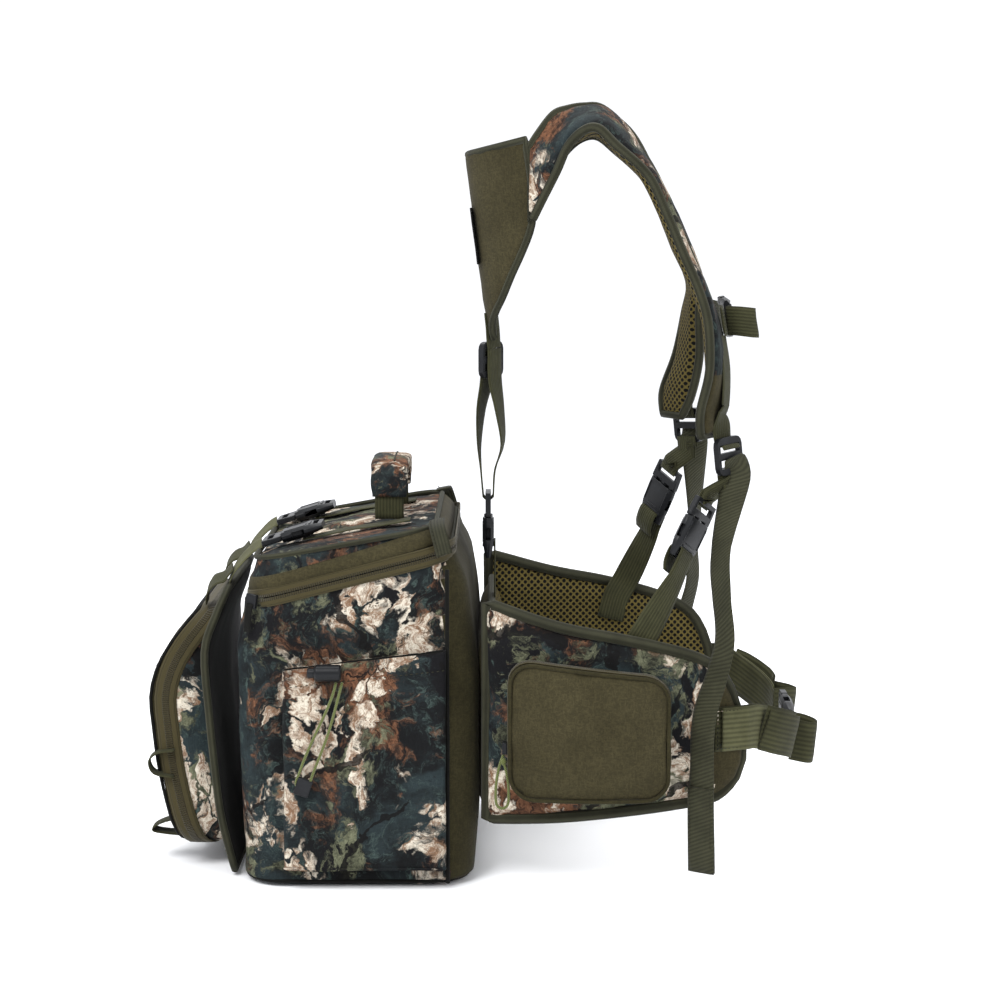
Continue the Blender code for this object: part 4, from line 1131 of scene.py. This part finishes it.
def lumbar_pad():
    low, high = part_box("lumbar_pad")
    middle_x = (low[0] + high[0]) / 2
    rings = []
    for step in range(13):
        share = 2 * step / 12 - 1
        z = (low[2] + high[2]) / 2 + share * (high[2] - low[2]) / 2 * 0.985
        reach = 1 - 0.06 * abs(share) ** 5
        outline = rounded_rectangle((low[0] + 0.0006, low[1] * reach), (high[0] - 0.005, high[1] * reach),
                                    0.004, 3, 18)
        narrow = 1 - 0.25 * abs(share) ** 4
        rings.append([Vector((middle_x + (x - middle_x) * narrow, y, z)) for x, y in outline])
    made = skin("lumbar_cushion", rings, None, [MESH_BACK, OLIVE], ends=True)
    plump(made, 0.006, 0.006, 4.0, lambda c, i, r: int(c.x < low[0] + 0.005))
    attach(made, "pack")
    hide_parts("lumbar_pad")
    edge = rounded_rectangle((low[1] + 0.002, low[2] + 0.002), (high[1] - 0.002, high[2] - 0.002),
                             0.012, 4, 10)
    tube("lumbar_binding", [(middle_x - 0.001, y, z) for y, z in edge], 0.0034, "pack", BINDING, cyclic=True)


def wing_edge(side):
    """The upper and lower edge of a wing, at the middle of its thickness."""
    first, last = WING_TOP[0][0], WING_TOP[-1][0]
    xs = [first + (last - first) * i / 40 for i in range(41)]
    middle = [side * (wing_outer(x) - WING_THICK / 2) for x in xs]
    top = [Vector((x, y, curve_value(WING_TOP, x))) for x, y in zip(xs, middle)]
    low = [Vector((x, y, curve_value(WING_BOTTOM, x))) for x, y in zip(xs, middle)]
    return top, low


def wing(tag, side):
    top, low = wing_edge(side)
    rings = []
    for a, b in zip(low, top):
        ring = []
        rows = 14
        for s in (1, -1):
            for k in range(rows + 1):
                share = (2 * k / rows - 1) * s
                depth = WING_THICK / 2 * max(0.0, 1 - abs(share) ** 8) ** 0.5 * 0.78 + 0.0014
                point = a.lerp(b, (share + 1) / 2)
                ring.append(point + Vector((0, side * s * depth, 0)))
        rings.append(ring)
    looks = [CAMO, MESH_WING, OLIVE]

    def which(c, i, r):
        inside = side * c.y < wing_outer(c.x) - WING_THICK / 2
        return 1 if inside else (2 if c.x > WING_TIP_X else 0)

    made = skin(f"wing_cloth_{tag}", rings, None, looks, which, ends=True)
    plump(made, 0.004, 0.0024, 4.0, which)
    crumple(made, 0.0012, 30, 11.0 + side)
    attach(made, f"wing_{tag}")
    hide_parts(f"wing_{tag}")
    top, low = wing_edge(side)
    tube(f"wing_binding_{tag}", low + top[::-1], 0.005, f"wing_{tag}", BINDING, cyclic=True)
    seam = [Vector((WING_TIP_X, side * (wing_outer(WING_TIP_X) + 0.0012), 0.064 + 0.114 * k / 20))
            for k in range(21)]
    stitches(f"wing_tip_seam_{tag}", seam, f"wing_{tag}")


def pocket_share(x):
    """Height of the wing pocket at x, as a share of its height at the hinge end."""
    return 1 - 0.13 * (x - WING_POCKET_LOW[0]) / (WING_POCKET_HIGH[0] - WING_POCKET_LOW[0])


def wing_pocket_ring(inset, out, side, share=1.0, grow=0.0):
    outline = rounded_rectangle((WING_POCKET_LOW[0] + inset, WING_POCKET_LOW[1] + inset),
                                (WING_POCKET_HIGH[0] - inset, WING_POCKET_HIGH[1] - inset),
                                0.02 - inset, 6, 12)
    mx = (WING_POCKET_LOW[0] + WING_POCKET_HIGH[0]) / 2
    mz = (WING_POCKET_LOW[1] + WING_POCKET_HIGH[1]) / 2
    found = []
    for x, z in outline:
        away = Vector((x - mx, 0, z - mz)).normalized() * grow
        x = mx + (x - mx) * share
        z = WING_POCKET_LOW[1] + (mz + (z - mz) * share - WING_POCKET_LOW[1]) * pocket_share(x)
        found.append(Vector((x, side * (wing_outer(x) + out), z)) + away)
    return found


def wing_pocket(tag, side):
    depth = WING_POCKET_DEPTH
    rings = [wing_pocket_ring(0, 0.0016, side, s) for s in (0.5, 0.85)]
    for share in (0, 0.12, 0.3, 0.5, 0.7, 0.88):
        grow = 0.0028 * math.sin(math.pi * share) - 0.0008
        rings.append(wing_pocket_ring(0, 0.0016 + share * (depth - 0.0016), side, 1.0, grow))
    rings += [wing_pocket_ring(0.0006, depth - 0.0004, side), wing_pocket_ring(0.0022, depth - 0.0004, side),
              wing_pocket_ring(0.0022, 0.004, side), wing_pocket_ring(0.0022, 0.004, side, 0.7)]
    made = skin(f"wing_pocket_cloth_{tag}", rings, f"wing_{tag}", [OLIVE, LINING_WITH_PAINTED_SHADE],
                lambda c, i, r: int(r > 8), ends=True)
    crumple(made, 0.0012, 34, 13.0 + side)
    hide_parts(f"wing_pocket_{tag}")
    level = depth + 0.0006
    rings = [wing_pocket_ring(0.004, level, side, s) for s in (0.3, 0.8)]
    rings += [wing_pocket_ring(0.0012, level, side), wing_pocket_ring(0.0006, level + 0.0012, side)]
    rings += [wing_pocket_ring(0.0016, level + 0.002 + 0.005 * (1 - s ** 3), side, s)
              for s in (0.985, 0.95, 0.9, 0.83, 0.75, 0.66, 0.57, 0.48, 0.38, 0.28, 0.18, 0.08)]
    cover = skin(f"wing_pocket_face_{tag}", rings, f"wing_cover_{tag}", [OLIVE], ends=True)
    crumple(cover, 0.0019, 22, 17.0 + side, (0.8, 1, 1.2), 0.2)
    crumple(cover, 0.0007, 60, 19.0 + side)
    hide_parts(f"wing_flap_{tag}")
    edge = [p + Vector((0, side * 0.0016 * (p.z < 0.0875), 0))
            for p in wing_pocket_ring(0.0002, level + 0.0022, side)]
    tube(f"wing_pocket_piping_{tag}", edge, 0.0017, f"wing_cover_{tag}", OLIVE_PANEL, cyclic=True)
    line = wing_pocket_ring(-0.0014, depth - 0.0072, side)
    band(f"wing_pocket_zip_{tag}", line + line[:1], (0, 1, 0), 0.011, f"wing_{tag}", ZIP, 0.001)
    slider = Vector((WING_POCKET_LOW[0] - 0.002, side * (wing_outer(WING_POCKET_LOW[0]) + 0.0125), 0.125))
    place = frame_of(slider, (0, 0, -1), (-1, 0, 0))
    corners = ((-0.0045, 0.0002, -0.005), (0.0045, 0.0042, 0.005))
    ribs_on(f"wing_slider_{tag}", place, f"wing_{tag}", [corners])
    top = place @ Vector((0, 0.003, 0.0058))
    falls = ((0.0012, 0.0006, -0.006), (0.0034, 0.003, -0.014), (0.005, 0.0044, -0.024),
             (0.0054, 0.005, -0.033), (0.0051, 0.005, -0.039), (0.0036, 0.0049, -0.043))
    down = [top + Vector((-0.0012 - x, side * y, z)) for x, y, z in falls]
    back = [top + Vector((-0.0012 + x, side * y, z)) for x, y, z in reversed(falls)]
    route = smooth([top] + down + [top + Vector((-0.0012, side * 0.0049, -0.0446))] + back, 2)
    pull = tube(f"wing_pull_cord_{tag}", route, CORD_DIAMETER / 2, f"wing_{tag}", CORD)
    length = polyline_length(route)
    knot = ball(f"wing_pull_knot_{tag}", route[-1], (0.0026, 0.0026, 0.0034), f"wing_{tag}", CORD)
    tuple(route[0])


def ball(name, at, size, body, look):
    bm = bmesh.new()
    bmesh.ops.create_uvsphere(bm, u_segments=16, v_segments=10, radius=1.0,
                              matrix=Matrix.Translation(at) @ Matrix.Diagonal((*size, 1.0)))
    return put(name, bm, body, [look])


def front_line(side):
    low = Vector((FRONT_ANCHOR[0], side * FRONT_ANCHOR[1], FRONT_ANCHOR[2]))
    high = Vector((LADDER[0], side * LADDER[1], LADDER[2]))
    if side > 0:
        high += Vector(FAR_LADDER_SHIFT)
    along = (high - low).normalized()
    return low, high, frame_of(low + along * FRONT_BUCKLE_AT, along, (FRONT_TURN, side, 0))


def front_webbing(tag, side):
    _, high, place = front_line(side)
    over = WEB_OVER_SOCKET
    x = FRONT_ANCHOR[0]
    inside = side * (wing_outer(x) - WING_THICK - 0.0036)
    path = spots(place, (over, -0.0285), (over, -0.044), (over, -0.06))
    path += [Vector((x + 0.01, inside, 0.2185)), Vector((x, inside, 0.2)),
             Vector((x - 0.006, inside, 0.178))]
    wide = place.to_3x3() @ Vector((1, 0, 0))
    wide *= 1 if wide.x > 0 else -1
    turning = smooth([wide] * 2 + [wide.lerp(Vector((0.84, 0, -0.54)), share)
                                   for share in (0.2, 0.8, 1.0, 1.0)])
    band(f"front_anchor_web_{tag}", smooth(path), turning, WEBBING, f"wing_{tag}", WEB,
         stands_for=f"front_anchor_{tag}")
    wrap = spots(place, (over, -0.0285), (0.003, -0.0268), (-0.002, -0.0268), (-over, -0.03),
                 (-over * 0.9, -0.042), (-over * 0.3, -0.05))
    band(f"front_anchor_wrap_{tag}", smooth(wrap), wide, WEBBING * 0.98, f"front_socket_{tag}", WEB)
    buckle_face(f"front_rails_{tag}", place, f"front_socket_{tag}")
    ladder = frame_of(high, (-0.1, 0, 1.0), (FRONT_TURN * 0.7, side, 0))
    run = spots(place, (0, 0.0135), (0, 0.02), (0, 0.0225))
    run += spots(ladder, (-0.002, -0.0236), (-0.002, -0.0212), (-0.002, -0.01))
    bar = ladder.to_3x3() @ Vector((1, 0, 0))
    along_run = smooth([place.to_3x3() @ Vector((1, 0, 0))] * 3 + [bar] * 3, 5)
    band(f"front_link_web_{tag}", smooth(run, 5), along_run, 0.0215, "harness", WEB, crown=0.0005,
         stands_for=f"front_link_{tag}")
    doubled = [p + ladder.to_3x3() @ Vector((0, -0.0028, 0)) for p in smooth(run, 5)]
    band(f"front_link_ply_{tag}", doubled, along_run, 0.0225, "harness", WEB, crown=0.0006)
    top = ladder @ Vector((0, 0.005, -0.001))
    fall = mm(side, (307.5, 133, 285), (306.5, 153, 250), (308.5, 164, 215), (302, 166.5, 185),
              (291.5, 166, 145), (290.5, 166, 80), (291.5, 166, 19))
    path = smooth([top, ladder @ Vector((0, 0.0056, -0.019))] + fall, 6)
    bar *= 1 if bar.x > 0 else -1
    hang = Vector((0.8, side * 0.6, 0))
    side_on = Vector((0.5, side * 0.86, 0))
    wides = [bar.lerp(side_on, min(i / 12, 1.0)) if i < 20 else side_on.lerp(hang, min((i - 20) / 26, 1.0))
             for i in range(len(path))]
    band(f"tail_web_{tag}", path, wides, WEBBING, f"tail_strap_{tag}", TAIL_WEB,
         stands_for=f"tail_strap_{tag}")
    hem = [p + Vector((-0.0009, side * 0.0017, -0.0006)) for p in path[-8:]]
    band(f"tail_hem_{tag}", hem, hang, WEBBING, f"tail_strap_{tag}", TAIL_WEB, thick=0.0022)
    for shift in (-0.01, 0.01):
        line = [p + Vector((-0.0018, side * 0.0026, 0)) + hang * shift for p in path[-8:-2]]
        stitches(f"tail_stitch_{tag}_{'a' if shift < 0 else 'b'}", line, f"tail_strap_{tag}", 0.0024, 0.0014)
    up = spots(ladder, (0.0046, 0.006), (0.003, 0.0088), (0.0, 0.0092), (-0.003, 0.0088), (-0.0048, 0.015),
               (-0.0045, 0.026), (-0.003, 0.036))
    lean = -0.013 if side > 0 else 0.0
    up += [Vector((0.3135 + lean, side * 0.096, 0.404)), Vector((0.314 + lean, side * 0.094, 0.434)),
           Vector((0.31 + lean * 0.6, side * 0.0915, 0.462))]
    across = [bar] * 6 + [Vector((0.35, side * -0.94, 0.0))] * 4
    band(f"ladder_web_{tag}", smooth(up), smooth(across), 0.0235, "harness", WEB)


# Waist belt.
def waist():
    place = frame_of((0.378, -0.004, 0.113), (0, 1, 0.06), (1, 0, 0))
    buckle_face("waist_rails", place, "wing_near", 0.024, 0.0052, 1.15)
    for tag, side in SIDES.items():
        on_wing = [(x, side * (wing_outer(x) + 0.0034), 0.1365) for x in (0.302, 0.312, 0.3225, 0.329)]
        if tag == "near":
            free = mm(1, (338, -130, 135), (352, -108, 128), (364, -84, 120), (370.5, -62, 115),
                      (371.5, -46, 113), (371.2, -43.5, 112.5))
        else:
            free = mm(1, (338, 130, 135), (352, 108, 128), (365.5, 84, 120), (372, 62, 115),
                      (372.8, 40, 113), (373.3, 31.5, 113))
        path = smooth(on_wing + free, 5)
        band(f"waist_web_{tag}", path, (0, 0, 1), BELT_WEBBING, f"wing_{tag}", WEB,
             stands_for=f"waist_webbing_{tag}")
        ply = [p + Vector((0.0024, side * 0.0024, 0.0)) for p in path[2:-8]]
        band(f"waist_ply_{tag}", ply, (0, 0, 1), BELT_WEBBING * 0.97, f"wing_{tag}", TAB_WEB)
        box_stitch(f"waist_tab_stitch_{tag}", side)
        for k, (out, rise) in enumerate(((0.0065, 0.002), (0.0105, -0.001))):
            line = [(0.344 + 0.002 * k, 0.129 + out * 0.4, 0.1335), (0.354 + out * 0.4, 0.117 + out, 0.129),
                    (0.365 + out * 0.6, 0.101 + out, 0.123), (0.3735 + out * 0.3, 0.085 + out * 0.8, 0.118),
                    (0.3745, 0.074 + out * 0.3, 0.116)]
            line = smooth([(x, side * y, z + rise) for x, y, z in line], 5)
            band(f"waist_slack_{tag}_{'ab'[k]}", line, (0.12 + 0.1 * k, 0, 1), BELT_WEBBING * 0.95,
                 f"wing_{tag}", WEB)
        fold = smooth(mm(side, (373.5, 50, 112.5), (385, 56, 112), (394.5, 66, 110), (396, 76, 109),
                         (390, 84, 110), (376, 85, 113)), 5)
        band(f"waist_fold_{tag}", fold, (0.1, 0, 1), BELT_WEBBING * 0.94, f"wing_{tag}", WEB)


def box_stitch(name, side):
    lines = []
    low, high = Vector((0.3045, 0, 0.1205)), Vector((0.3265, 0, 0.1525))
    corners = [(low.x, low.z), (high.x, low.z), (high.x, high.z), (low.x, high.z), (low.x, low.z),
               (high.x, high.z)]
    for (a, b), (c, d) in zip(corners, corners[1:]):
        for k in range(7):
            x = a + (c - a) * k / 6
            lines.append(Vector((x, side * (wing_outer(x) + 0.007), b + (d - b) * k / 6)))
    stitches(name, lines, "wing_near" if side < 0 else "wing_far", 0.0026, 0.001, 0.00045, CAMO)


# Harness.
YOKE_LEVELS = (
    (0.4565, 0.113, 0.0125), (0.468, 0.112, 0.013), (0.489, 0.1085, 0.033),
    (0.512, 0.1055, 0.046), (0.534, 0.103, 0.056), (0.555, 0.1, 0.063),
    (0.58, 0.097, 0.0655), (0.6, 0.0945, 0.065), (0.615, 0.093, 0.064),
)
PAD_EDGES = (
    ((0.1555, 0.0665, 0.6319), (0.158, 0.0745, 0.5725)),
    ((0.1684, 0.062, 0.6481), (0.1705, 0.086, 0.5977)),
    ((0.1804, 0.06, 0.6524), (0.1794, 0.098, 0.6184)),
    ((0.1942, 0.058, 0.6542), (0.1917, 0.108, 0.6314)),
    ((0.2096, 0.057, 0.6525), (0.204, 0.114, 0.6336)),
    ((0.2295, 0.057, 0.6339), (0.2182, 0.115, 0.6204)),
    ((0.2481, 0.0571, 0.5977), (0.2451, 0.1169, 0.5959)),
    ((0.2636, 0.057, 0.5663), (0.2606, 0.117, 0.5651)),
    ((0.2775, 0.058, 0.5331), (0.2745, 0.118, 0.5325)),
    ((0.2932, 0.0591, 0.5006), (0.2884, 0.1189, 0.5006)),
    ((0.305, 0.0613, 0.4725), (0.296, 0.1207, 0.4725)),
    ((0.315, 0.0644, 0.4341), (0.297, 0.1216, 0.4341)),
    ((0.3142, 0.0709, 0.4), (0.2898, 0.1191, 0.4)),
    ((0.3075, 0.0813, 0.379), (0.2905, 0.1107, 0.379)),
)
FAR_PAD_LEAN = (
    0.0, 0.0, 0.003, 0.006, 0.009, 0.012, 0.013, 0.013, 0.0145, 0.011, -0.001, -0.01, -0.015, -0.016,
)
REAR_LADDER_X = 0.115
REAR_TWIST = math.radians(32)
PAD_THICK = 0.01


def yoke():
    levels = smooth([(z, x, half) for z, x, half in YOKE_LEVELS], 3)
    columns = 20
    rings = []
    for z, x0, half in levels:
        back, front = [], []
        for c in range(columns + 1):
            share = 2 * c / columns - 1
            y = half * share
            x = x0 + 12 * y * y
            puff = 0.0018 * (1 - share ** 6)
            rise = 0.011 * abs(share) ** 2.2 * max(0.0, (z - 0.585) / 0.03)
            back.append(Vector((x + 0.0008 - puff * 0.6, y, z + rise)))
            front.append(Vector((x + 0.0032 + puff, y, z + rise)))
        rings.append(back + front[::-1])
    made = skin("yoke_panel", rings, "harness", [OLIVE, MESH_BACK],
                lambda c, i, r: int(i > columns), ends=True)
    crumple(made, 0.0012, 24, 21.0)
    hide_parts("yoke")
    edge = []
    for s in (-1, 1):
        line = [Vector((x0 + 12 * half * half + 0.0024, s * half, z + 0.011 * max(0.0, (z - 0.585) / 0.03)))
                for z, x0, half in levels]
        edge += line if s < 0 else line[::-1]
    z, x0, half = levels[-1]
    across = [Vector((x0 + 12 * (half * k) ** 2 + 0.0024, half * k, z + 0.011 * abs(k) ** 2.2))
              for k in (-0.75, -0.5, -0.25, 0, 0.25, 0.5, 0.75)]
    edge = edge[:len(levels)] + across + edge[len(levels):]
    tube("yoke_binding", edge, 0.0034, "harness", BINDING, cyclic=True)
    tab = [(between([(z, x) for z, x, _ in YOKE_LEVELS], z) - 0.0008, 0.0, z)
           for z in (0.52, 0.532, 0.545, 0.557, 0.569)]
    band("yoke_patch", smooth(tab), (0, 1, 0), 0.04, "harness", LINING_WITH_PAINTED_SHADE, 0.002)


def shoulder_pad(tag, side):
    start = ((0.148, 0.064, 0.62), (0.15, 0.066, 0.556))
    lean = (0.0,) + (FAR_PAD_LEAN if side > 0 else (0.0,) * len(PAD_EDGES))
    lines = [smooth([(pair[k][0] + dx, side * pair[k][1], pair[k][2])
                     for pair, dx in zip((start,) + PAD_EDGES, lean)], 6) for k in (0, 1)]
    centres = [(a + b) / 2 for a, b in zip(*lines)]
    columns = 12
    rings, left, right, normals = [], [], [], []
    for i, (a, b) in enumerate(zip(*lines)):
        along = centres[min(i + 1, len(centres) - 1)] - centres[max(i - 1, 0)]
        wide = (b - a).normalized()
        normal = along.cross(wide).normalized() * side
        half = (b - a).length / 2 - 0.0015
        outer, inner = [], []
        for c in range(columns + 1):
            share = 2 * c / columns - 1
            depth = (PAD_THICK / 2 - 0.0006) * max(0.0, 1 - abs(share) ** 5) ** 0.5 + 0.0012
            outer.append(centres[i] + wide * half * share + normal * depth)
            inner.append(centres[i] + wide * half * share - normal * depth)
        rings.append(outer + inner[::-1])
        left.append(centres[i] - wide * half)
        right.append(centres[i] + wide * half)
        normals.append(normal)
    flip = 1 if normals[len(normals) * 5 // 9].x > 0 else -1

    def which(c, i, r):
        """Mesh on the wearer's side, camouflage outside and plain olive at the lower end."""
        near = min(range(0, len(centres), 2), key=lambda k: (centres[k] - c).length_squared)
        if (c - centres[near]).dot(normals[near]) * flip <= 0.0:
            return 1
        return 2 if near > len(centres) - 12 else 0

    made = skin(f"shoulder_pad_cloth_{tag}", rings, None, [CAMO, MESH_BACK, OLIVE], which, ends=True)
    plump(made, 0.0045, 0.0016, 3.0, which)
    crumple(made, 0.0008, 34, 25.0 + side)
    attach(made, "harness")
    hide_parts(f"shoulder_pad_{tag}")
    tube(f"pad_binding_{tag}", left + right[::-1], 0.004, "harness", BINDING, cyclic=True)


def rear_webbing():
    x, _, mouth = REAR_BUCKLE
    place = frame_of(REAR_BUCKLE, (0, 0, 1), (1, 0, 0))
    buckle_face("rear_rails", place, "pack")
    over = x + WEB_OVER_SOCKET
    path = smooth([(over, 0, 0.2256), (over, 0, 0.245), (over, 0, 0.262), (over, 0, 0.2755)])
    band("rear_anchor_web", path, (0, 1, 0), WEBBING, "pack", WEB, stands_for="rear_anchor")
    bar = mouth + 0.022 - 0.0021
    turn = 0.0046
    loop = [Vector((x + turn * math.cos(a), 0, bar + turn * math.sin(a)))
            for a in (math.pi * (1 + i / 6) for i in range(7))]
    face_up = Vector((math.cos(REAR_TWIST), -math.sin(REAR_TWIST), 0))
    gap = 0.0025 + 0.0005 + 0.00075
    plies = ((0.338, 0.1123, 0.0062), (0.362, 0.115, 0.0106), (0.392, 0.1145, 0.0088),
             (0.419, REAR_LADDER_X, gap + 0.0004), (0.446, REAR_LADDER_X, gap))
    low, high = plies[0][0], plies[-2][0]
    front, back, wides = [], [], []
    for z, middle, half in plies:
        face = Vector((1, 0, 0)).lerp(face_up, min((z - low) / (high - low), 1.0)).normalized()
        front.append(Vector((middle, 0, z)) + face * half)
        back.append(Vector((middle, 0, z)) - face * half)
        wides.append(Vector((-face.y, face.x, 0)))
    across = smooth(wides[::-1] + [Vector((0, 1, 0))] * 7 + wides)
    band("rear_web", smooth(back[::-1] + loop + front), across, 0.022, "harness", WEB,
         stands_for="rear_strap")
    top = [front[-1], front[-1] + Vector((-0.001, 0, 0.007)), Vector((0.1165, 0, 0.464)),
           Vector((0.115, 0, 0.478))]
    band("rear_yoke_web", smooth(top), wides[-1], 0.022, "harness", WEB)


def sternum():
    place = frame_of((0.3215, 0.004, 0.474), (0, 1, 0), (1, 0, 0.18))
    buckle_face("sternum_rails", place, "harness")
    wide = (-0.18, 0, 1)
    path = smooth(mm(1, (311, -88, 473.5), (314.5, -72, 473.5), (315.5, -50, 473.5), (315, -31, 473.5)))
    band("sternum_web", path, wide, WEBBING, "harness", WEB, stands_for="sternum_strap")
    loop = smooth(mm(1, (316, -70, 473.5), (325, -77, 473.5), (337.5, -79, 472.2), (340.5, -74, 471.6),
                     (333, -64, 472), (318.5, -52, 473.3)), 5)
    band("sternum_loop", loop, wide, WEBBING, "harness", WEB)
    far = smooth(mm(1, (321.5, 22, 474), (320.5, 40, 473.8), (320, 60, 473.5), (319, 79, 473.5)))
    band("sternum_web_far", far, wide, WEBBING, "sternum_plug", WEB)


# Build.
bag()
main_zip()
lid()
corner_patches()
handle()
hard_pieces()
beavertail()
front_pouch()
lumbar_pad()
yoke()
rear_webbing()
sternum()
waist()
for tag, side in SIDES.items():
    compression(tag, side)
    side_pocket(tag, side)
    wing(tag, side)
    wing_pocket(tag, side)
    front_webbing(tag, side)
    shoulder_pad(tag, side)


# Floor and light.
def studio():
    look = Look("floor_paper", 0.9)
    soft = look.noise(3, 2)
    floor_look = look.done(look.mix(soft, (0.93, 0.94, 0.96), (0.96, 0.965, 0.975)))
    bpy.ops.mesh.primitive_plane_add(size=12, location=(0, 0, 0))
    floor = bpy.context.object
    floor.name = "floor"
    floor.data.materials.append(floor_look)
    bpy.context.scene.view_settings.view_transform = "Standard"
    world = bpy.data.worlds.new("world")
    bpy.context.scene.world = world
    world.use_nodes = True
    world.node_tree.nodes["Background"].inputs["Color"].default_value = (0.96, 0.97, 1.0, 1.0)
    world.node_tree.nodes["Background"].inputs["Strength"].default_value = 1.12
    for name, at, power, size in (("key", (-0.9, -1.6, 2.0), 60, 1.2), ("fill", (1.8, -1.4, 1.2), 16, 1.8),
                                  ("top", (0.2, 0.8, 2.4), 50, 2.0)):
        light = bpy.data.lights.new(name, "AREA")
        light.energy = power
        light.size = size
        made = bpy.data.objects.new(name, light)
        bpy.context.scene.collection.objects.link(made)
        made.location = at
        made.rotation_euler = (Vector((0.12, 0, 0.28)) - Vector(at)).to_track_quat("-Z", "Y").to_euler()


studio()
